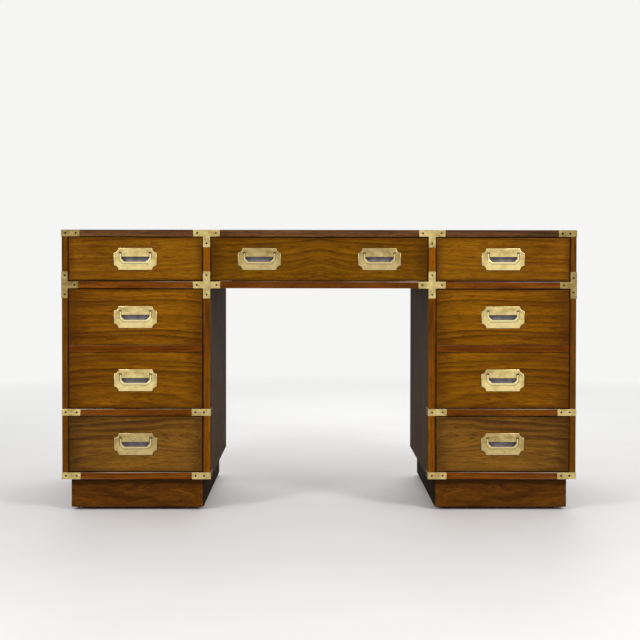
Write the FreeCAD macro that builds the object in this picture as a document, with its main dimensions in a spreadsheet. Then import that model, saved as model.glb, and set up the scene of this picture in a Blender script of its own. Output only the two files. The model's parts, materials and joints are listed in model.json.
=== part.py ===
import FreeCAD, Part
import os
import Sketcher
from types import SimpleNamespace

# A double-pedestal campaign desk with seven drawers, ten recessed brass pulls and brass corner mounts.
# Millimetres, +Z up. The drawers face -Y, and the origin is on the floor under the middle of the desk.

SIZES = {
    # the whole desk
    "width": 1372,
    "depth": 610,
    "height": 752,
    "kneehole_width": 582,
    # boards of the top and the two pedestals
    "top_thick": 18,
    "lipping_width": 18,
    "outer_side_thick": 16,
    "inner_side_thick": 19,
    "rail_thick": 18,
    "rail_depth": 45,
    "back_thick": 8,
    "back_inset": 3,
    "floor_thick": 12,
    "top_opening": 120,
    "bottom_opening": 152,
    # plinths and the glides under them
    "plinth_height": 78,
    "plinth_inset": 20,
    "plinth_thick": 19,
    "plinth_block": 32,
    "glide_height": 8,
    "glide_radius": 12,
    "glide_chamfer": 2,
    # runners that carry and guide the drawers
    "runner_width": 20,
    "runner_clearance": 0.5,
    "runner_lip_height": 10,
    # drawer boxes
    "front_gap": 3,
    "front_thick": 19,
    "front_lap": 6,
    "side_thick": 12,
    "back_board_thick": 12,
    "back_dado": 5,
    "bottom_thick": 5,
    "bottom_groove": 5,
    "bottom_raise": 10,
    "shallow_side_drop": 20,
    "file_side_drop": 60,
    "drawer_back_room": 60,
    "tail_spacing": 32,
    "tail_width": 20,
    "tail_taper": 2.5,
    # strip that makes one deep front look like two drawers
    "false_rail_height": 18,
    "false_rail_depth": 6,
    "false_rail_groove": 1.5,
    # pull plates
    "pull_spread": 320,
    "plate_side_margin": 13.9,
    "plate_high_margin": 11.35,
    "plate_low_margin": 16.15,
    "plate_thick": 2.2,
    "scallop_radius": 12,
    "tab_low": 6,
    "lug_thick": 2.2,
    "lug_half_height": 2.6,
    "lug_depth": 4.2,
    "post_wall": 1.4,
    "post_radius": 2.8,
    "post_web": 4,
    "post_clearance": 0.2,
    "pull_screw_radius": 1.4,
    "pull_screw_clearance": 0.1,
    "pull_screw_reach": 9,
    "pull_screw_head_radius": 3.5,
    "pull_screw_head_height": 2,
    # bails that hang in the pull plates
    "bail_half_width": 42.5,
    "bail_arm": 5.2,
    "bail_grip": 5.5,
    "bail_low": 12.5,
    "bail_thick": 5,
    "bail_front": 2,
    "bail_corner": 9.5,
    "bail_inner_corner": 8,
    "bail_clearance": 0.6,
    "heel_clearance": 2.8,
    "pivot_raise": 13.3,
    "pivot_depth": 1.6,
    "pivot_heel": 1.8,
    "pivot_radius": 1.25,
    "pivot_length": 2.4,
    "pivot_clearance": 0.05,
    # cups let into the drawer fronts behind the plates
    "cup_wall": 1,
    "cup_depth": 12,
    "cup_margin": 0.3,
    "cup_above": 3,
    "cup_below": 2.4,
    "mortise_clearance": 0.5,
    # brass mounts and their screws
    "brass_thick": 1.2,
    "corner_reach": 48,
    "strap_reach": 49,
    "tee_length": 70,
    "tee_drop": 28.5,
    "cross_length": 72,
    "side_tee_bar": 71,
    "side_tee_reach": 44,
    "screw_inset": 10,
    "screw_head_radius": 2.4,
    "screw_radius": 1.2,
    "screw_length": 14,
    "screw_clearance": 0.1,
    "screw_stagger": 6,
}

doc = FreeCAD.newDocument("campaign_desk")
sheet = doc.addObject("Spreadsheet::Sheet", "dims")
for row, (alias, number) in enumerate(SIZES.items(), start=1):
    sheet.set(f"A{row}", alias)
    sheet.set(f"B{row}", str(number))
    sheet.setAlias(f"B{row}", alias)
doc.recompute()


class Size:
    """A length that keeps its number and the sheet expression that it is worked out from."""

    def __init__(self, number, text):
        self.number = number
        self.text = text

    def __add__(self, other):
        other = as_size(other)
        return Size(self.number + other.number, f"({self.text} + {other.text})")

    def __sub__(self, other):
        other = as_size(other)
        return Size(self.number - other.number, f"({self.text} - {other.text})")

    def __mul__(self, factor):
        return Size(self.number * factor, f"({self.text} * {factor})")

    def __truediv__(self, factor):
        return Size(self.number / factor, f"({self.text} / {factor})")

    def __neg__(self):
        return self * -1


def as_size(value):
    return value if isinstance(value, Size) else Size(value, str(value))


d = SimpleNamespace(**{alias: Size(number, f"dims.{alias}") for alias, number in SIZES.items()})
sub_parts = []

INTO_FRONT = FreeCAD.Rotation(FreeCAD.Vector(1, 0, 0), -90)
INTO_SIDE = FreeCAD.Rotation(FreeCAD.Vector(0, 1, 0), 90)
INTO_TOP = FreeCAD.Rotation(FreeCAD.Vector(1, 0, 0), 180)
OUT_OF_BACK = FreeCAD.Rotation(FreeCAD.Vector(1, 0, 0), 90)
UPRIGHT = FreeCAD.Rotation()


# Helpers: sizes and places are always bound to the sheet

def bind(item, prop, size):
    item.setExpression(prop, as_size(size).text)


def place(item, spot, turn=UPRIGHT):
    item.Placement = FreeCAD.Placement(FreeCAD.Vector(), turn)
    for axis, size in zip("xyz", spot):
        bind(item, f"Placement.Base.{axis}", size)


def span(first, second):
    """The two ends of a stretch, the lower one first."""
    first, second = as_size(first), as_size(second)
    return (first, second) if first.number <= second.number else (second, first)


def block(label, x, y, z):
    """A square-cut board given by its two ends along each axis."""
    item = doc.addObject("Part::Box", label)
    spans = [span(*ends) for ends in (x, y, z)]
    for prop, (low, high) in zip(("Length", "Width", "Height"), spans):
        bind(item, prop, high - low)
    place(item, [low for low, high in spans])
    return item


def rod(label, radius, length, spot, turn=UPRIGHT):
    item = doc.addObject("Part::Cylinder", label)
    bind(item, "Radius", radius)
    bind(item, "Height", length)
    place(item, spot, turn)
    return item


def frustum(label, radius_low, radius_high, height, spot, turn=UPRIGHT):
    item = doc.addObject("Part::Cone", label)
    bind(item, "Radius1", radius_low)
    bind(item, "Radius2", radius_high)
    bind(item, "Height", height)
    place(item, spot, turn)
    return item


def copy_of(label, master, spot, turn=UPRIGHT):
    item = doc.addObject("App::Link", label)
    item.LinkedObject = master
    place(item, spot, turn)
    return item


def together(label, items):
    item = doc.addObject("Part::Compound", label)
    item.Links = items
    return item


def fused(label, items):
    item = doc.addObject("Part::MultiFuse", label)
    item.Shapes = items
    return item


def carved(label, base, *tools):
    """The base with each tool taken out of it in turn."""
    for tool in tools:
        cut = doc.addObject("Part::Cut", f"{label}_cut")
        cut.Base = base
        cut.Tool = tool
        base = cut
    return base


def sub_part(item, label):
    item.Label = label
    sub_parts.append(item)


def vector(corner):
    return FreeCAD.Vector(corner[0].number, corner[1].number, 0)


def sketch_outline(body, role, corners, hollow_corners=None):
    """A closed outline through the corners; an edge in hollow_corners is an arc about that centre."""
    hollow_corners = hollow_corners or {}
    corners = [tuple(as_size(value) for value in corner) for corner in corners]
    plane = next(item for item in body.Origin.OriginFeatures if item.Role == role)
    sketch = body.newObject("Sketcher::SketchObject", f"{body.Name}_outline")
    sketch.AttachmentSupport = [(plane, "")]
    sketch.MapMode = "FlatFace"
    edges = []
    for index, corner in enumerate(corners):
        start = vector(corner)
        end = vector(corners[(index + 1) % len(corners)])
        if index in hollow_corners:
            centre = vector([as_size(value) for value in hollow_corners[index]])
            circle = Part.Circle(centre, FreeCAD.Vector(0, 0, 1), (start - centre).Length)
            edges.append(Part.ArcOfCircle(circle, circle.parameter(end), circle.parameter(start)))
        else:
            edges.append(Part.LineSegment(start, end))
    sketch.addGeometry(edges, False)

    first_point = [2 if index in hollow_corners else 1 for index in range(len(corners))]
    for index, corner in enumerate(corners):
        after = (index + 1) % len(corners)
        last_point = 3 - first_point[index]
        sketch.addConstraint(Sketcher.Constraint("Coincident", index, last_point, after, first_point[after]))
        for axis, size in zip("XY", corner):
            fix_point(sketch, index, first_point[index], axis, size)
    for index, centre in hollow_corners.items():
        fix_point(sketch, index, 3, "X", as_size(centre[0]))
    return sketch


def fix_point(sketch, edge, point, axis, size):
    number = sketch.addConstraint(Sketcher.Constraint(f"Distance{axis}", edge, point, size.number))
    name = f"{axis.lower()}_{edge}_{point}"
    sketch.renameConstraint(number, name)
    sketch.setExpression(f"Constraints.{name}", size.text)


def slab(label, role, corners, thick, hollow_corners=None, back=False):
    """A body padded from an outline on one of its origin planes."""
    body = doc.addObject("PartDesign::Body", label)
    pad = body.newObject("PartDesign::Pad", f"{label}_pad")
    pad.Profile = sketch_outline(body, role, corners, hollow_corners)
    bind(pad, "Length", thick)
    pad.Reversed = back
    body.Tip = pad
    return body


# Levels and faces that the whole desk shares

front = -d.depth / 2
back = d.depth / 2
half_width = d.width / 2
half_knee = d.kneehole_width / 2
inner_wall = half_knee + d.inner_side_thick
outer_wall = half_width - d.outer_side_thick
pedestal_middle = (inner_wall + outer_wall) / 2
opening_half = (outer_wall - inner_wall) / 2

case_top = d.height - d.top_thick
case_bottom = d.glide_height + d.plinth_height
bottom_rail_top = case_bottom + d.rail_thick
lower_rail_low = bottom_rail_top + d.bottom_opening
lower_rail_top = lower_rail_low + d.rail_thick
upper_rail_top = case_top - d.top_opening
upper_rail_low = upper_rail_top - d.rail_thick
back_panel_front = back - d.back_inset - d.back_thick

SIDES = (("left", -1), ("right", 1))


# Screws: a countersunk wood screw, and the slightly larger hole that it sits in

def make_screw(label, clearance):
    head_radius = d.screw_head_radius + clearance
    shank_radius = d.screw_radius + clearance
    head_height = d.screw_head_radius - d.screw_radius
    head = frustum(f"{label}_head", head_radius, shank_radius, head_height, (0, 0, 0))
    shank = rod(f"{label}_shank", shank_radius, d.screw_length + clearance - head_height, (0, 0, head_height))
    return fused(label, [head, shank])


screw = make_screw("screw_master", as_size(0))
drill = make_screw("drill_master", d.screw_clearance)


# Brass mounts: each kind is made once with its screws, then copied to its places

def make_mount(label, plates, screw_spots):
    """One kind of mount: its drilled plates, its screws and the drills for the wood behind it."""
    screws = [copy_of(f"{label}_screw", screw, spot, turn) for spot, turn in screw_spots]
    drills = [copy_of(f"{label}_drill", drill, spot, turn) for spot, turn in screw_spots]
    blank = fused(f"{label}_blank", plates)
    all_drills = together(f"{label}_drills", drills)
    return SimpleNamespace(
        name=label,
        plate=carved(f"{label}_master", blank, all_drills),
        screws=together(f"{label}_screws", screws),
        drills=all_drills,
    )


def on_front(x, z):
    return (x, -d.brass_thick, z), INTO_FRONT


def on_side(y, z):
    return (-d.brass_thick, y, z), INTO_SIDE


# The first screw on a mount's side leg goes in behind the tips of the screws from the front
past_tips = d.screw_length + d.screw_stagger / 2


def make_strap():
    """An angle strap round the front corner of a pedestal, its corner at the origin."""
    outside = -d.brass_thick
    height = (-d.rail_thick / 2, d.rail_thick / 2)
    plates = [
        block("strap_front", (outside, d.strap_reach), (outside, 0), height),
        block("strap_side", (outside, 0), (outside, d.strap_reach), height),
    ]
    near, far = d.screw_inset, d.strap_reach - d.screw_inset
    spots = [on_front(near, 0), on_front(far, 0), on_side(past_tips, 0), on_side(far, 0)]
    return make_mount("strap", plates, spots)


def make_side_tee():
    """A tee bent round the front corner of a pedestal at the upper rail."""
    outside = -d.brass_thick
    bar = (-d.side_tee_bar / 2, d.side_tee_bar / 2)
    leg = (-d.rail_thick / 2, d.rail_thick / 2)
    plates = [
        block("side_tee_front_bar", (outside, d.outer_side_thick), (outside, 0), bar),
        block("side_tee_front_leg", (outside, d.side_tee_reach), (outside, 0), leg),
        block("side_tee_side_bar", (outside, 0), (outside, d.outer_side_thick), bar),
        block("side_tee_side_leg", (outside, 0), (outside, d.side_tee_reach), leg),
    ]
    middle = d.outer_side_thick / 2
    rise = d.side_tee_bar / 2 - d.screw_inset
    side_rise = rise - d.screw_stagger
    leg_end = d.side_tee_reach - d.screw_inset
    spots = [on_front(middle, rise), on_front(middle, -rise), on_front(leg_end, 0)]
    spots += [on_side(middle, side_rise), on_side(middle, -side_rise), on_side(leg_end, 0)]
    return make_mount("side_tee", plates, spots)


def make_top_corner():
    """A three-way corner of the top, its corner at the origin and its upper leaf let in flush."""
    outside = -d.brass_thick
    height = (-d.top_thick, 0)
    leaf = (-d.brass_thick, 0)
    plates = [
        block("corner_front", (outside, d.corner_reach), (outside, 0), height),
        block("corner_side", (outside, 0), (outside, d.corner_reach), height),
        block("corner_front_leaf", (outside, d.corner_reach), (outside, d.lipping_width), leaf),
        block("corner_side_leaf", (outside, d.lipping_width), (outside, d.corner_reach), leaf),
    ]
    middle = -d.top_thick / 2
    near, far = d.screw_inset, d.corner_reach - d.screw_inset
    spots = [on_front(near, middle), on_front(far, middle), on_side(past_tips, middle), on_side(far, middle)]
    leaf_middle = d.lipping_width / 2
    spots.append((((near + far) / 2, leaf_middle, 0), INTO_TOP))
    spots.append(((leaf_middle, (past_tips + far) / 2, 0), INTO_TOP))
    return make_mount("corner", plates, spots)


def make_top_tee():
    """A flat tee on the edge of the top, its leg on the inner side board below."""
    bar_end = d.tee_length / 2
    leg_half = d.inner_side_thick / 2
    depth = (-d.brass_thick, 0)
    plates = [
        block("top_tee_bar", (-bar_end, bar_end), depth, (-d.top_thick, 0)),
        block("top_tee_leg", (-leg_half, leg_half), depth, (-d.top_thick - d.tee_drop, 0)),
    ]
    reach = bar_end - d.screw_inset
    middle = -d.top_thick / 2
    leg_end = -d.top_thick - d.tee_drop + d.screw_inset
    spots = [on_front(-reach, middle), on_front(reach, middle), on_front(0, leg_end)]
    return make_mount("top_tee", plates, spots)


def make_cross():
    """A flat cross where the upper rails meet an inner side board."""
    end = d.cross_length / 2
    post_half = d.inner_side_thick / 2
    arm_half = d.rail_thick / 2
    depth = (-d.brass_thick, 0)
    plates = [
        block("cross_arm", (-end, end), depth, (-arm_half, arm_half)),
        block("cross_post", (-post_half, post_half), depth, (-end, end)),
    ]
    reach = end - d.screw_inset
    spots = [on_front(-reach, 0), on_front(reach, 0), on_front(0, reach), on_front(0, -reach)]
    return make_mount("cross", plates, spots)


QUARTER_TURN = FreeCAD.Rotation(FreeCAD.Vector(0, 0, 1), 90)
HALF_TURN = FreeCAD.Rotation(FreeCAD.Vector(0, 0, 1), 180)
THREE_QUARTER_TURN = FreeCAD.Rotation(FreeCAD.Vector(0, 0, 1), 270)


def mount_places():
    """Each mount's node, kind and the places that it is screwed to."""
    inner_middle = half_knee + d.inner_side_thick / 2
    upper_rail = (upper_rail_low + upper_rail_top) / 2
    lower_rail = (lower_rail_low + lower_rail_top) / 2
    bottom_rail = (case_bottom + bottom_rail_top) / 2
    corners = [
        ((-half_width, front, d.height), UPRIGHT),
        ((half_width, front, d.height), QUARTER_TURN),
        ((half_width, back, d.height), HALF_TURN),
        ((-half_width, back, d.height), THREE_QUARTER_TURN),
    ]
    straps = []
    for level in (lower_rail, bottom_rail):
        straps += [((-half_width, front, level), UPRIGHT), ((half_knee, front, level), UPRIGHT)]
        straps += [((-half_knee, front, level), QUARTER_TURN), ((half_width, front, level), QUARTER_TURN)]
    side_tees = [((-half_width, front, upper_rail), UPRIGHT), ((half_width, front, upper_rail), QUARTER_TURN)]
    top_tees = [((inner_middle * sign, front, d.height), UPRIGHT) for side, sign in SIDES]
    crosses = [((inner_middle * sign, front, upper_rail), UPRIGHT) for side, sign in SIDES]
    return [
        ("top_corner_brackets", make_top_corner(), corners),
        ("top_tee_brackets", make_top_tee(), top_tees),
        ("side_tee_brackets", make_side_tee(), side_tees),
        ("cross_brackets", make_cross(), crosses),
        ("corner_straps", make_strap(), straps),
    ]


def make_mounts():
    """All the brass mounts and their screws; gives back the drills for the wood and the top corners."""
    screws, drills, nodes = [], [], {}
    for node, mount, places in mount_places():
        plates = [copy_of(f"{mount.name}_plate", mount.plate, spot, turn) for spot, turn in places]
        screws += [copy_of(f"{mount.name}_screw_set", mount.screws, spot, turn) for spot, turn in places]
        drills += [copy_of(f"{mount.name}_drill_set", mount.drills, spot, turn) for spot, turn in places]
        nodes[node] = together(node, plates)
        sub_part(nodes[node], node)
    sub_part(together("bracket_screws", screws), "bracket_screws")
    return together("wood_drills", drills), nodes["top_corner_brackets"]


# The top: a veneered panel in a mitred solid edge

def make_top(drills, corner_brackets):
    inner_x = half_width - d.lipping_width
    inner_y = back - d.lipping_width
    panel = block("desk_top", (-inner_x, inner_x), (-inner_y, inner_y), (case_top, d.height))
    sub_part(panel, "desk_top")
    outer = [(-half_width, front), (half_width, front), (half_width, back), (-half_width, back)]
    inner = [(-inner_x, -inner_y), (inner_x, -inner_y), (inner_x, inner_y), (-inner_x, inner_y)]
    strips = []
    for strip in mitred_frame("lipping", outer, inner, d.top_thick, case_top):
        strips.append(carved("drilled_lipping", strip, corner_brackets, drills))
    sub_part(together("top_lipping", strips), "top_lipping")


def mitred_frame(label, outer, inner, height, level):
    """Four boards mitred at the corners between an outer and an inner rectangle."""
    boards = []
    for index in range(4):
        after = (index + 1) % 4
        corners = [outer[index], outer[after], inner[after], inner[index]]
        board = slab(label, "XY_Plane", corners, height)
        place(board, (0, 0, level))
        boards.append(board)
    return boards


# The two pedestals and what ties them together at the kneehole

def make_sides(drills):
    for side, sign in SIDES:
        for position, face, wall in (("outer", half_width, outer_wall), ("inner", half_knee, inner_wall)):
            label = f"{side}_{position}_side"
            across = (face * sign, wall * sign)
            board = block(f"{label}_board", across, (front, back), (case_bottom, case_top))
            sub_part(carved(label, board, drills), label)


def make_rails(drills):
    rail_back = front + d.rail_depth
    levels = [
        (upper_rail_low, upper_rail_top),
        (lower_rail_low, lower_rail_top),
        (case_bottom, bottom_rail_top),
    ]
    rails = [block("kneehole_rail", (-half_knee, half_knee), (front, rail_back), levels[0])]
    for side, sign in SIDES:
        for level in levels:
            rails.append(block("rail", (inner_wall * sign, outer_wall * sign), (front, rail_back), level))
    sub_part(together("front_rails", [carved("drilled_rail", rail, drills) for rail in rails]), "front_rails")


def make_back_and_floor():
    panels, floors = [], []
    panel_back = back - d.back_inset
    floor_top = case_bottom + d.floor_thick
    for side, sign in SIDES:
        across = (inner_wall * sign, outer_wall * sign)
        panels.append(block("back_panel", across, (back_panel_front, panel_back), (case_bottom, case_top)))
        floor_depth = (front + d.rail_depth, back_panel_front)
        floors.append(block("floor_panel", across, floor_depth, (case_bottom, floor_top)))
    sub_part(together("pedestal_back_panels", panels), "pedestal_back_panels")
    sub_part(together("pedestal_floors", floors), "pedestal_floors")
    rail_depth = (panel_back - d.rail_thick, panel_back)
    rail = block("kneehole_back_rail", (-half_knee, half_knee), rail_depth, (upper_rail_low, case_top))
    sub_part(rail, "kneehole_back_rail")


def make_runner(wall, inward, low, rail_top, far_end):
    """A runner on one wall: a step that the drawer rests on and a lip that guides its side."""
    depth = (front + d.rail_depth, far_end)
    seat = rail_top + d.front_gap
    step = block("runner_step", (wall, wall + d.runner_width * inward), depth, (low, seat))
    lip_height = (seat, seat + d.runner_lip_height)
    lip_thick = d.front_gap - d.runner_clearance
    lip = block("runner_lip", (wall, wall + lip_thick * inward), depth, lip_height)
    return fused("runner", [step, lip])


def make_runners():
    floor_top = case_bottom + d.floor_thick
    back_rail_front = back - d.back_inset - d.rail_thick
    runners = []
    for side, sign in SIDES:
        for wall, inward in ((inner_wall * sign, sign), (outer_wall * sign, -sign)):
            runners.append(make_runner(wall, inward, upper_rail_low, upper_rail_top, back_panel_front))
            runners.append(make_runner(wall, inward, lower_rail_low, lower_rail_top, back_panel_front))
            runners.append(make_runner(wall, inward, floor_top, bottom_rail_top, back_panel_front))
        runners.append(make_runner(half_knee * sign, -sign, upper_rail_low, upper_rail_top, back_rail_front))
    sub_part(together("drawer_runners", runners), "drawer_runners")


# Plinths: a mitred box under each pedestal, with corner blocks that hold the glides

def make_plinths():
    near, far = front + d.plinth_inset, back - d.plinth_inset
    boards, blocks, glides = [], [], []
    for side, sign in SIDES:
        low, high = span((half_knee + d.plinth_inset) * sign, (half_width - d.plinth_inset) * sign)
        wall = d.plinth_thick
        outer = [(low, near), (high, near), (high, far), (low, far)]
        inner = [(low + wall, near + wall), (high - wall, near + wall)]
        inner += [(high - wall, far - wall), (low + wall, far - wall)]
        boards += mitred_frame("plinth_board", outer, inner, d.plinth_height, d.glide_height)
        for corner_x, into_x in ((low + wall, 1), (high - wall, -1)):
            for corner_y, into_y in ((near + wall, 1), (far - wall, -1)):
                across = (corner_x, corner_x + d.plinth_block * into_x)
                along = (corner_y, corner_y + d.plinth_block * into_y)
                blocks.append(block("plinth_corner", across, along, (d.glide_height, case_bottom)))
                middle = d.plinth_block / 2
                glides.append(make_glide(corner_x + middle * into_x, corner_y + middle * into_y))
    sub_part(together("plinth_boards", boards), "plinth_boards")
    sub_part(together("plinth_corner_blocks", blocks), "plinth_corner_blocks")
    sub_part(together("floor_glides", glides), "floor_glides")


def make_glide(x, y):
    foot_radius = d.glide_radius - d.glide_chamfer
    foot = frustum("glide_foot", foot_radius, d.glide_radius, d.glide_chamfer, (x, y, 0))
    disc = rod("glide_disc", d.glide_radius, d.glide_height - d.glide_chamfer, (x, y, d.glide_chamfer))
    return fused("glide", [foot, disc])


# Pulls: a plate, a cup, two screws and a bail, each made once about the middle of its plate

opening_side = d.bail_half_width + d.bail_clearance
opening_low = -d.bail_low - d.bail_clearance
opening_high = d.pivot_raise + d.pivot_heel + d.heel_clearance
lug_side = opening_side + d.lug_thick
cup_side = lug_side + d.cup_margin + d.cup_wall
cup_low = opening_low - d.cup_below
cup_high = opening_high + d.cup_above
post_offset = cup_side + d.mortise_clearance + d.post_wall + d.post_clearance + d.post_radius
post_length = d.front_thick - d.post_web


def make_plate():
    x, r = opening_side + d.plate_side_margin, d.scallop_radius
    low, high = opening_low - d.plate_low_margin, opening_high + d.plate_high_margin
    corners = [(r - x, low), (x - r, low), (x, low + r), (x, high - r)]
    corners += [(x - r, high), (r - x, high), (-x, high - r), (-x, low + r)]
    scallops = {1: (x, low), 3: (x, high), 5: (-x, high), 7: (-x, low)}
    plate = slab("plate_outline", "XZ_Plane", corners, d.plate_thick, scallops)

    tab = d.bail_half_width - d.bail_arm - d.bail_clearance
    slant = d.bail_corner + d.bail_clearance
    side, low, high = opening_side, opening_low, opening_high
    window_corners = [(slant - side, low), (side - slant, low), (side, low + slant), (side, high)]
    window_corners += [(tab, high), (tab, d.tab_low), (-tab, d.tab_low), (-tab, high)]
    window_corners += [(-side, high), (-side, low + slant)]
    window = slab("plate_window", "XZ_Plane", window_corners, d.plate_thick)

    solids = [carved("plate_sheet", plate, window)]
    bores = []
    bore_radius = d.pivot_radius + d.pivot_clearance
    screw_bore_radius = d.pull_screw_radius + d.pull_screw_clearance
    bore_start = post_length - d.pull_screw_reach
    for side_name, sign in SIDES:
        lug_height = (d.pivot_raise - d.lug_half_height, d.pivot_raise + d.lug_half_height)
        solids.append(block("plate_lug", (side * sign, lug_side * sign), (0, d.lug_depth), lug_height))
        post_spot = (post_offset * sign, 0, 0)
        solids.append(rod("plate_post", d.post_radius, post_length, post_spot, INTO_FRONT))
        bore_spot = (post_offset * sign, bore_start, 0)
        bores.append(rod("post_bore", screw_bore_radius, d.pull_screw_reach, bore_spot, INTO_FRONT))
        lug_start = span(side * sign, lug_side * sign)[0]
        pivot = (lug_start, d.pivot_depth, d.pivot_raise)
        bores.append(rod("lug_bore", bore_radius, d.lug_thick, pivot, INTO_SIDE))
    return carved("pull_plate_master", fused("plate_solids", solids), together("plate_bores", bores))


def make_cup():
    outer = block("cup_outside", (-cup_side, cup_side), (0, d.cup_depth), (cup_low, cup_high))
    wall = d.cup_wall
    hollow_x = (wall - cup_side, cup_side - wall)
    hollow = block("cup_inside", hollow_x, (0, d.cup_depth - wall), (cup_low + wall, cup_high - wall))
    return carved("pull_cup_master", outer, hollow)


def make_bail():
    side, low, top = d.bail_half_width, -d.bail_low, d.pivot_raise + d.pivot_heel
    slant = d.bail_corner
    inside = side - d.bail_arm
    grip = low + d.bail_grip
    inner_slant = d.bail_inner_corner
    corners = [(slant - side, low), (side - slant, low), (side, low + slant), (side, top), (inside, top)]
    corners += [(inside, grip + inner_slant), (inside - inner_slant, grip), (inner_slant - inside, grip)]
    corners += [(-inside, grip + inner_slant), (-inside, top), (-side, top), (-side, low + slant)]
    loop = slab("bail_loop", "XZ_Plane", corners, d.bail_thick)
    place(loop, (0, d.bail_thick - d.bail_front, 0))
    pin_length = d.pivot_length + d.bail_arm / 2
    pins = []
    for start in (-side - d.pivot_length, side - d.bail_arm / 2):
        pivot = (start, d.pivot_depth, d.pivot_raise)
        pins.append(rod("bail_pin", d.pivot_radius, pin_length, pivot, INTO_SIDE))
    return fused("pull_bail_master", [loop] + pins)


def make_pull_screw():
    """A screw from inside the drawer into a post of the plate, its head on the back of the front."""
    head_seat = d.front_thick
    reach = d.front_thick - post_length + d.pull_screw_reach - d.pull_screw_clearance
    shank = rod("pull_screw_shank", d.pull_screw_radius, reach, (0, head_seat, 0), OUT_OF_BACK)
    head_spot = (0, head_seat, 0)
    head = rod("pull_screw_head", d.pull_screw_head_radius, d.pull_screw_head_height, head_spot, INTO_FRONT)
    return fused("pull_screw_master", [shank, head])


def make_pull_recess():
    """What is cut from a drawer front for one pull: the cup's mortise and two stepped holes."""
    gap = d.mortise_clearance
    mortise_x = (-cup_side - gap, cup_side + gap)
    mortise = block("mortise", mortise_x, (0, d.cup_depth + gap), (cup_low - gap, cup_high + gap))
    cuts = [mortise]
    for side_name, sign in SIDES:
        spot = (post_offset * sign, 0, 0)
        hole_depth = post_length + d.post_clearance
        hole = rod("post_hole", d.post_radius + d.post_clearance, hole_depth, spot, INTO_FRONT)
        screw_radius = d.pull_screw_radius + d.pull_screw_clearance
        screw_hole = rod("pull_screw_hole", screw_radius, d.front_thick, spot, INTO_FRONT)
        cuts.append(fused("pull_hole", [hole, screw_hole]))
    return together("pull_recess_master", cuts)


pull = SimpleNamespace(
    plate=make_plate(),
    cup=make_cup(),
    bail=make_bail(),
    screw=make_pull_screw(),
    recess=make_pull_recess(),
)


# Drawers: a dovetailed box with a grooved bottom, a thick front and its pulls

def make_drawer_side(label, x, y_back, low, height):
    """A side board in its own plane, with dovetails that reach into the front."""
    root = front + d.front_thick
    tip = front + d.front_lap
    tails = max(2, round(height.number / d.tail_spacing.number))
    pitch = height / tails
    corners = [(y_back, 0), (root, 0)]
    for index in range(tails):
        middle = pitch * (index + 0.5)
        wide = d.tail_width / 2
        narrow = wide - d.tail_taper
        corners += [(root, middle - narrow), (tip, middle - wide)]
        corners += [(tip, middle + wide), (root, middle + narrow)]
    corners += [(root, height), (y_back, height)]
    side = slab(label, "YZ_Plane", corners, d.side_thick)
    place(side, (x, 0, low))
    return side


def make_drawer(name, middle, half, low, opening, side_drop, pull_spots, false_rail_level=None):
    """One drawer: its front, box and pulls; pull_spots gives each bail's name and its place on the front."""
    low = low + d.front_gap
    high = low + opening - d.front_gap * 2
    left, right = middle - half + d.front_gap, middle + half - d.front_gap
    inside_left, inside_right = left + d.side_thick, right - d.side_thick
    box_back = back - d.drawer_back_room
    front_back = front + d.front_thick
    side_height = high - low - side_drop

    bottom_low = low + d.bottom_raise
    bottom_top = bottom_low + d.bottom_thick
    groove = d.bottom_groove
    bottom_x = (inside_left - groove, inside_right + groove)
    bottom = block(f"{name}_bottom", bottom_x, (front_back - groove, box_back), (bottom_low, bottom_top))
    back_x = (inside_left - d.back_dado, inside_right + d.back_dado)
    back_y = (box_back - d.back_board_thick * 2, box_back - d.back_board_thick)
    back_board = block(f"{name}_back", back_x, back_y, (bottom_top, low + side_height))
    sides = []
    for x in (left, inside_right):
        side = make_drawer_side(f"{name}_side", x, box_back, low, side_height)
        sides.append(carved(f"{name}_grooved_side", side, bottom, back_board))
    sub_part(together(f"{name}_drawer_box", sides + [bottom, back_board]), f"{name}_drawer_box")

    spots = [(middle + x, front, z) for bail, x, z in pull_spots]
    recesses = [copy_of(f"{name}_recess", pull.recess, spot) for spot in spots]
    face = block(f"{name}_face", (left, right), (front, front_back), (low, high))
    cuts = sides + [bottom] + recesses
    if false_rail_level is not None:
        reach = d.false_rail_height / 2
        depth = (front, front + d.false_rail_depth)
        groove_reach = reach + d.false_rail_groove
        groove_height = (false_rail_level - groove_reach, false_rail_level + groove_reach)
        cuts.append(block(f"{name}_false_rail_groove", (left, right), depth, groove_height))
        strip_height = (false_rail_level - reach, false_rail_level + reach)
        strip = block(f"{name}_strip", (left, right), depth, strip_height)
        sub_part(strip, f"{name}_false_rail")
    sub_part(carved(f"{name}_drawer_front", face, *cuts), f"{name}_drawer_front")
    make_pulls(name, spots, [bail for bail, x, z in pull_spots])


def make_pulls(name, spots, bails):
    plates, cups, screws = [], [], []
    for (x, y, z), bail in zip(spots, bails):
        plates.append(copy_of(f"{name}_plate", pull.plate, (x, y, z)))
        cups.append(copy_of(f"{name}_cup", pull.cup, (x, y, z)))
        for side_name, sign in SIDES:
            screws.append(copy_of(f"{name}_screw", pull.screw, (x + post_offset * sign, y, z)))
        sub_part(copy_of(bail, pull.bail, (x, y, z)), bail)
    sub_part(together(f"{name}_pull_plates", plates + screws), f"{name}_pull_plates")
    sub_part(together(f"{name}_pull_cups", cups), f"{name}_pull_cups")


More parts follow.
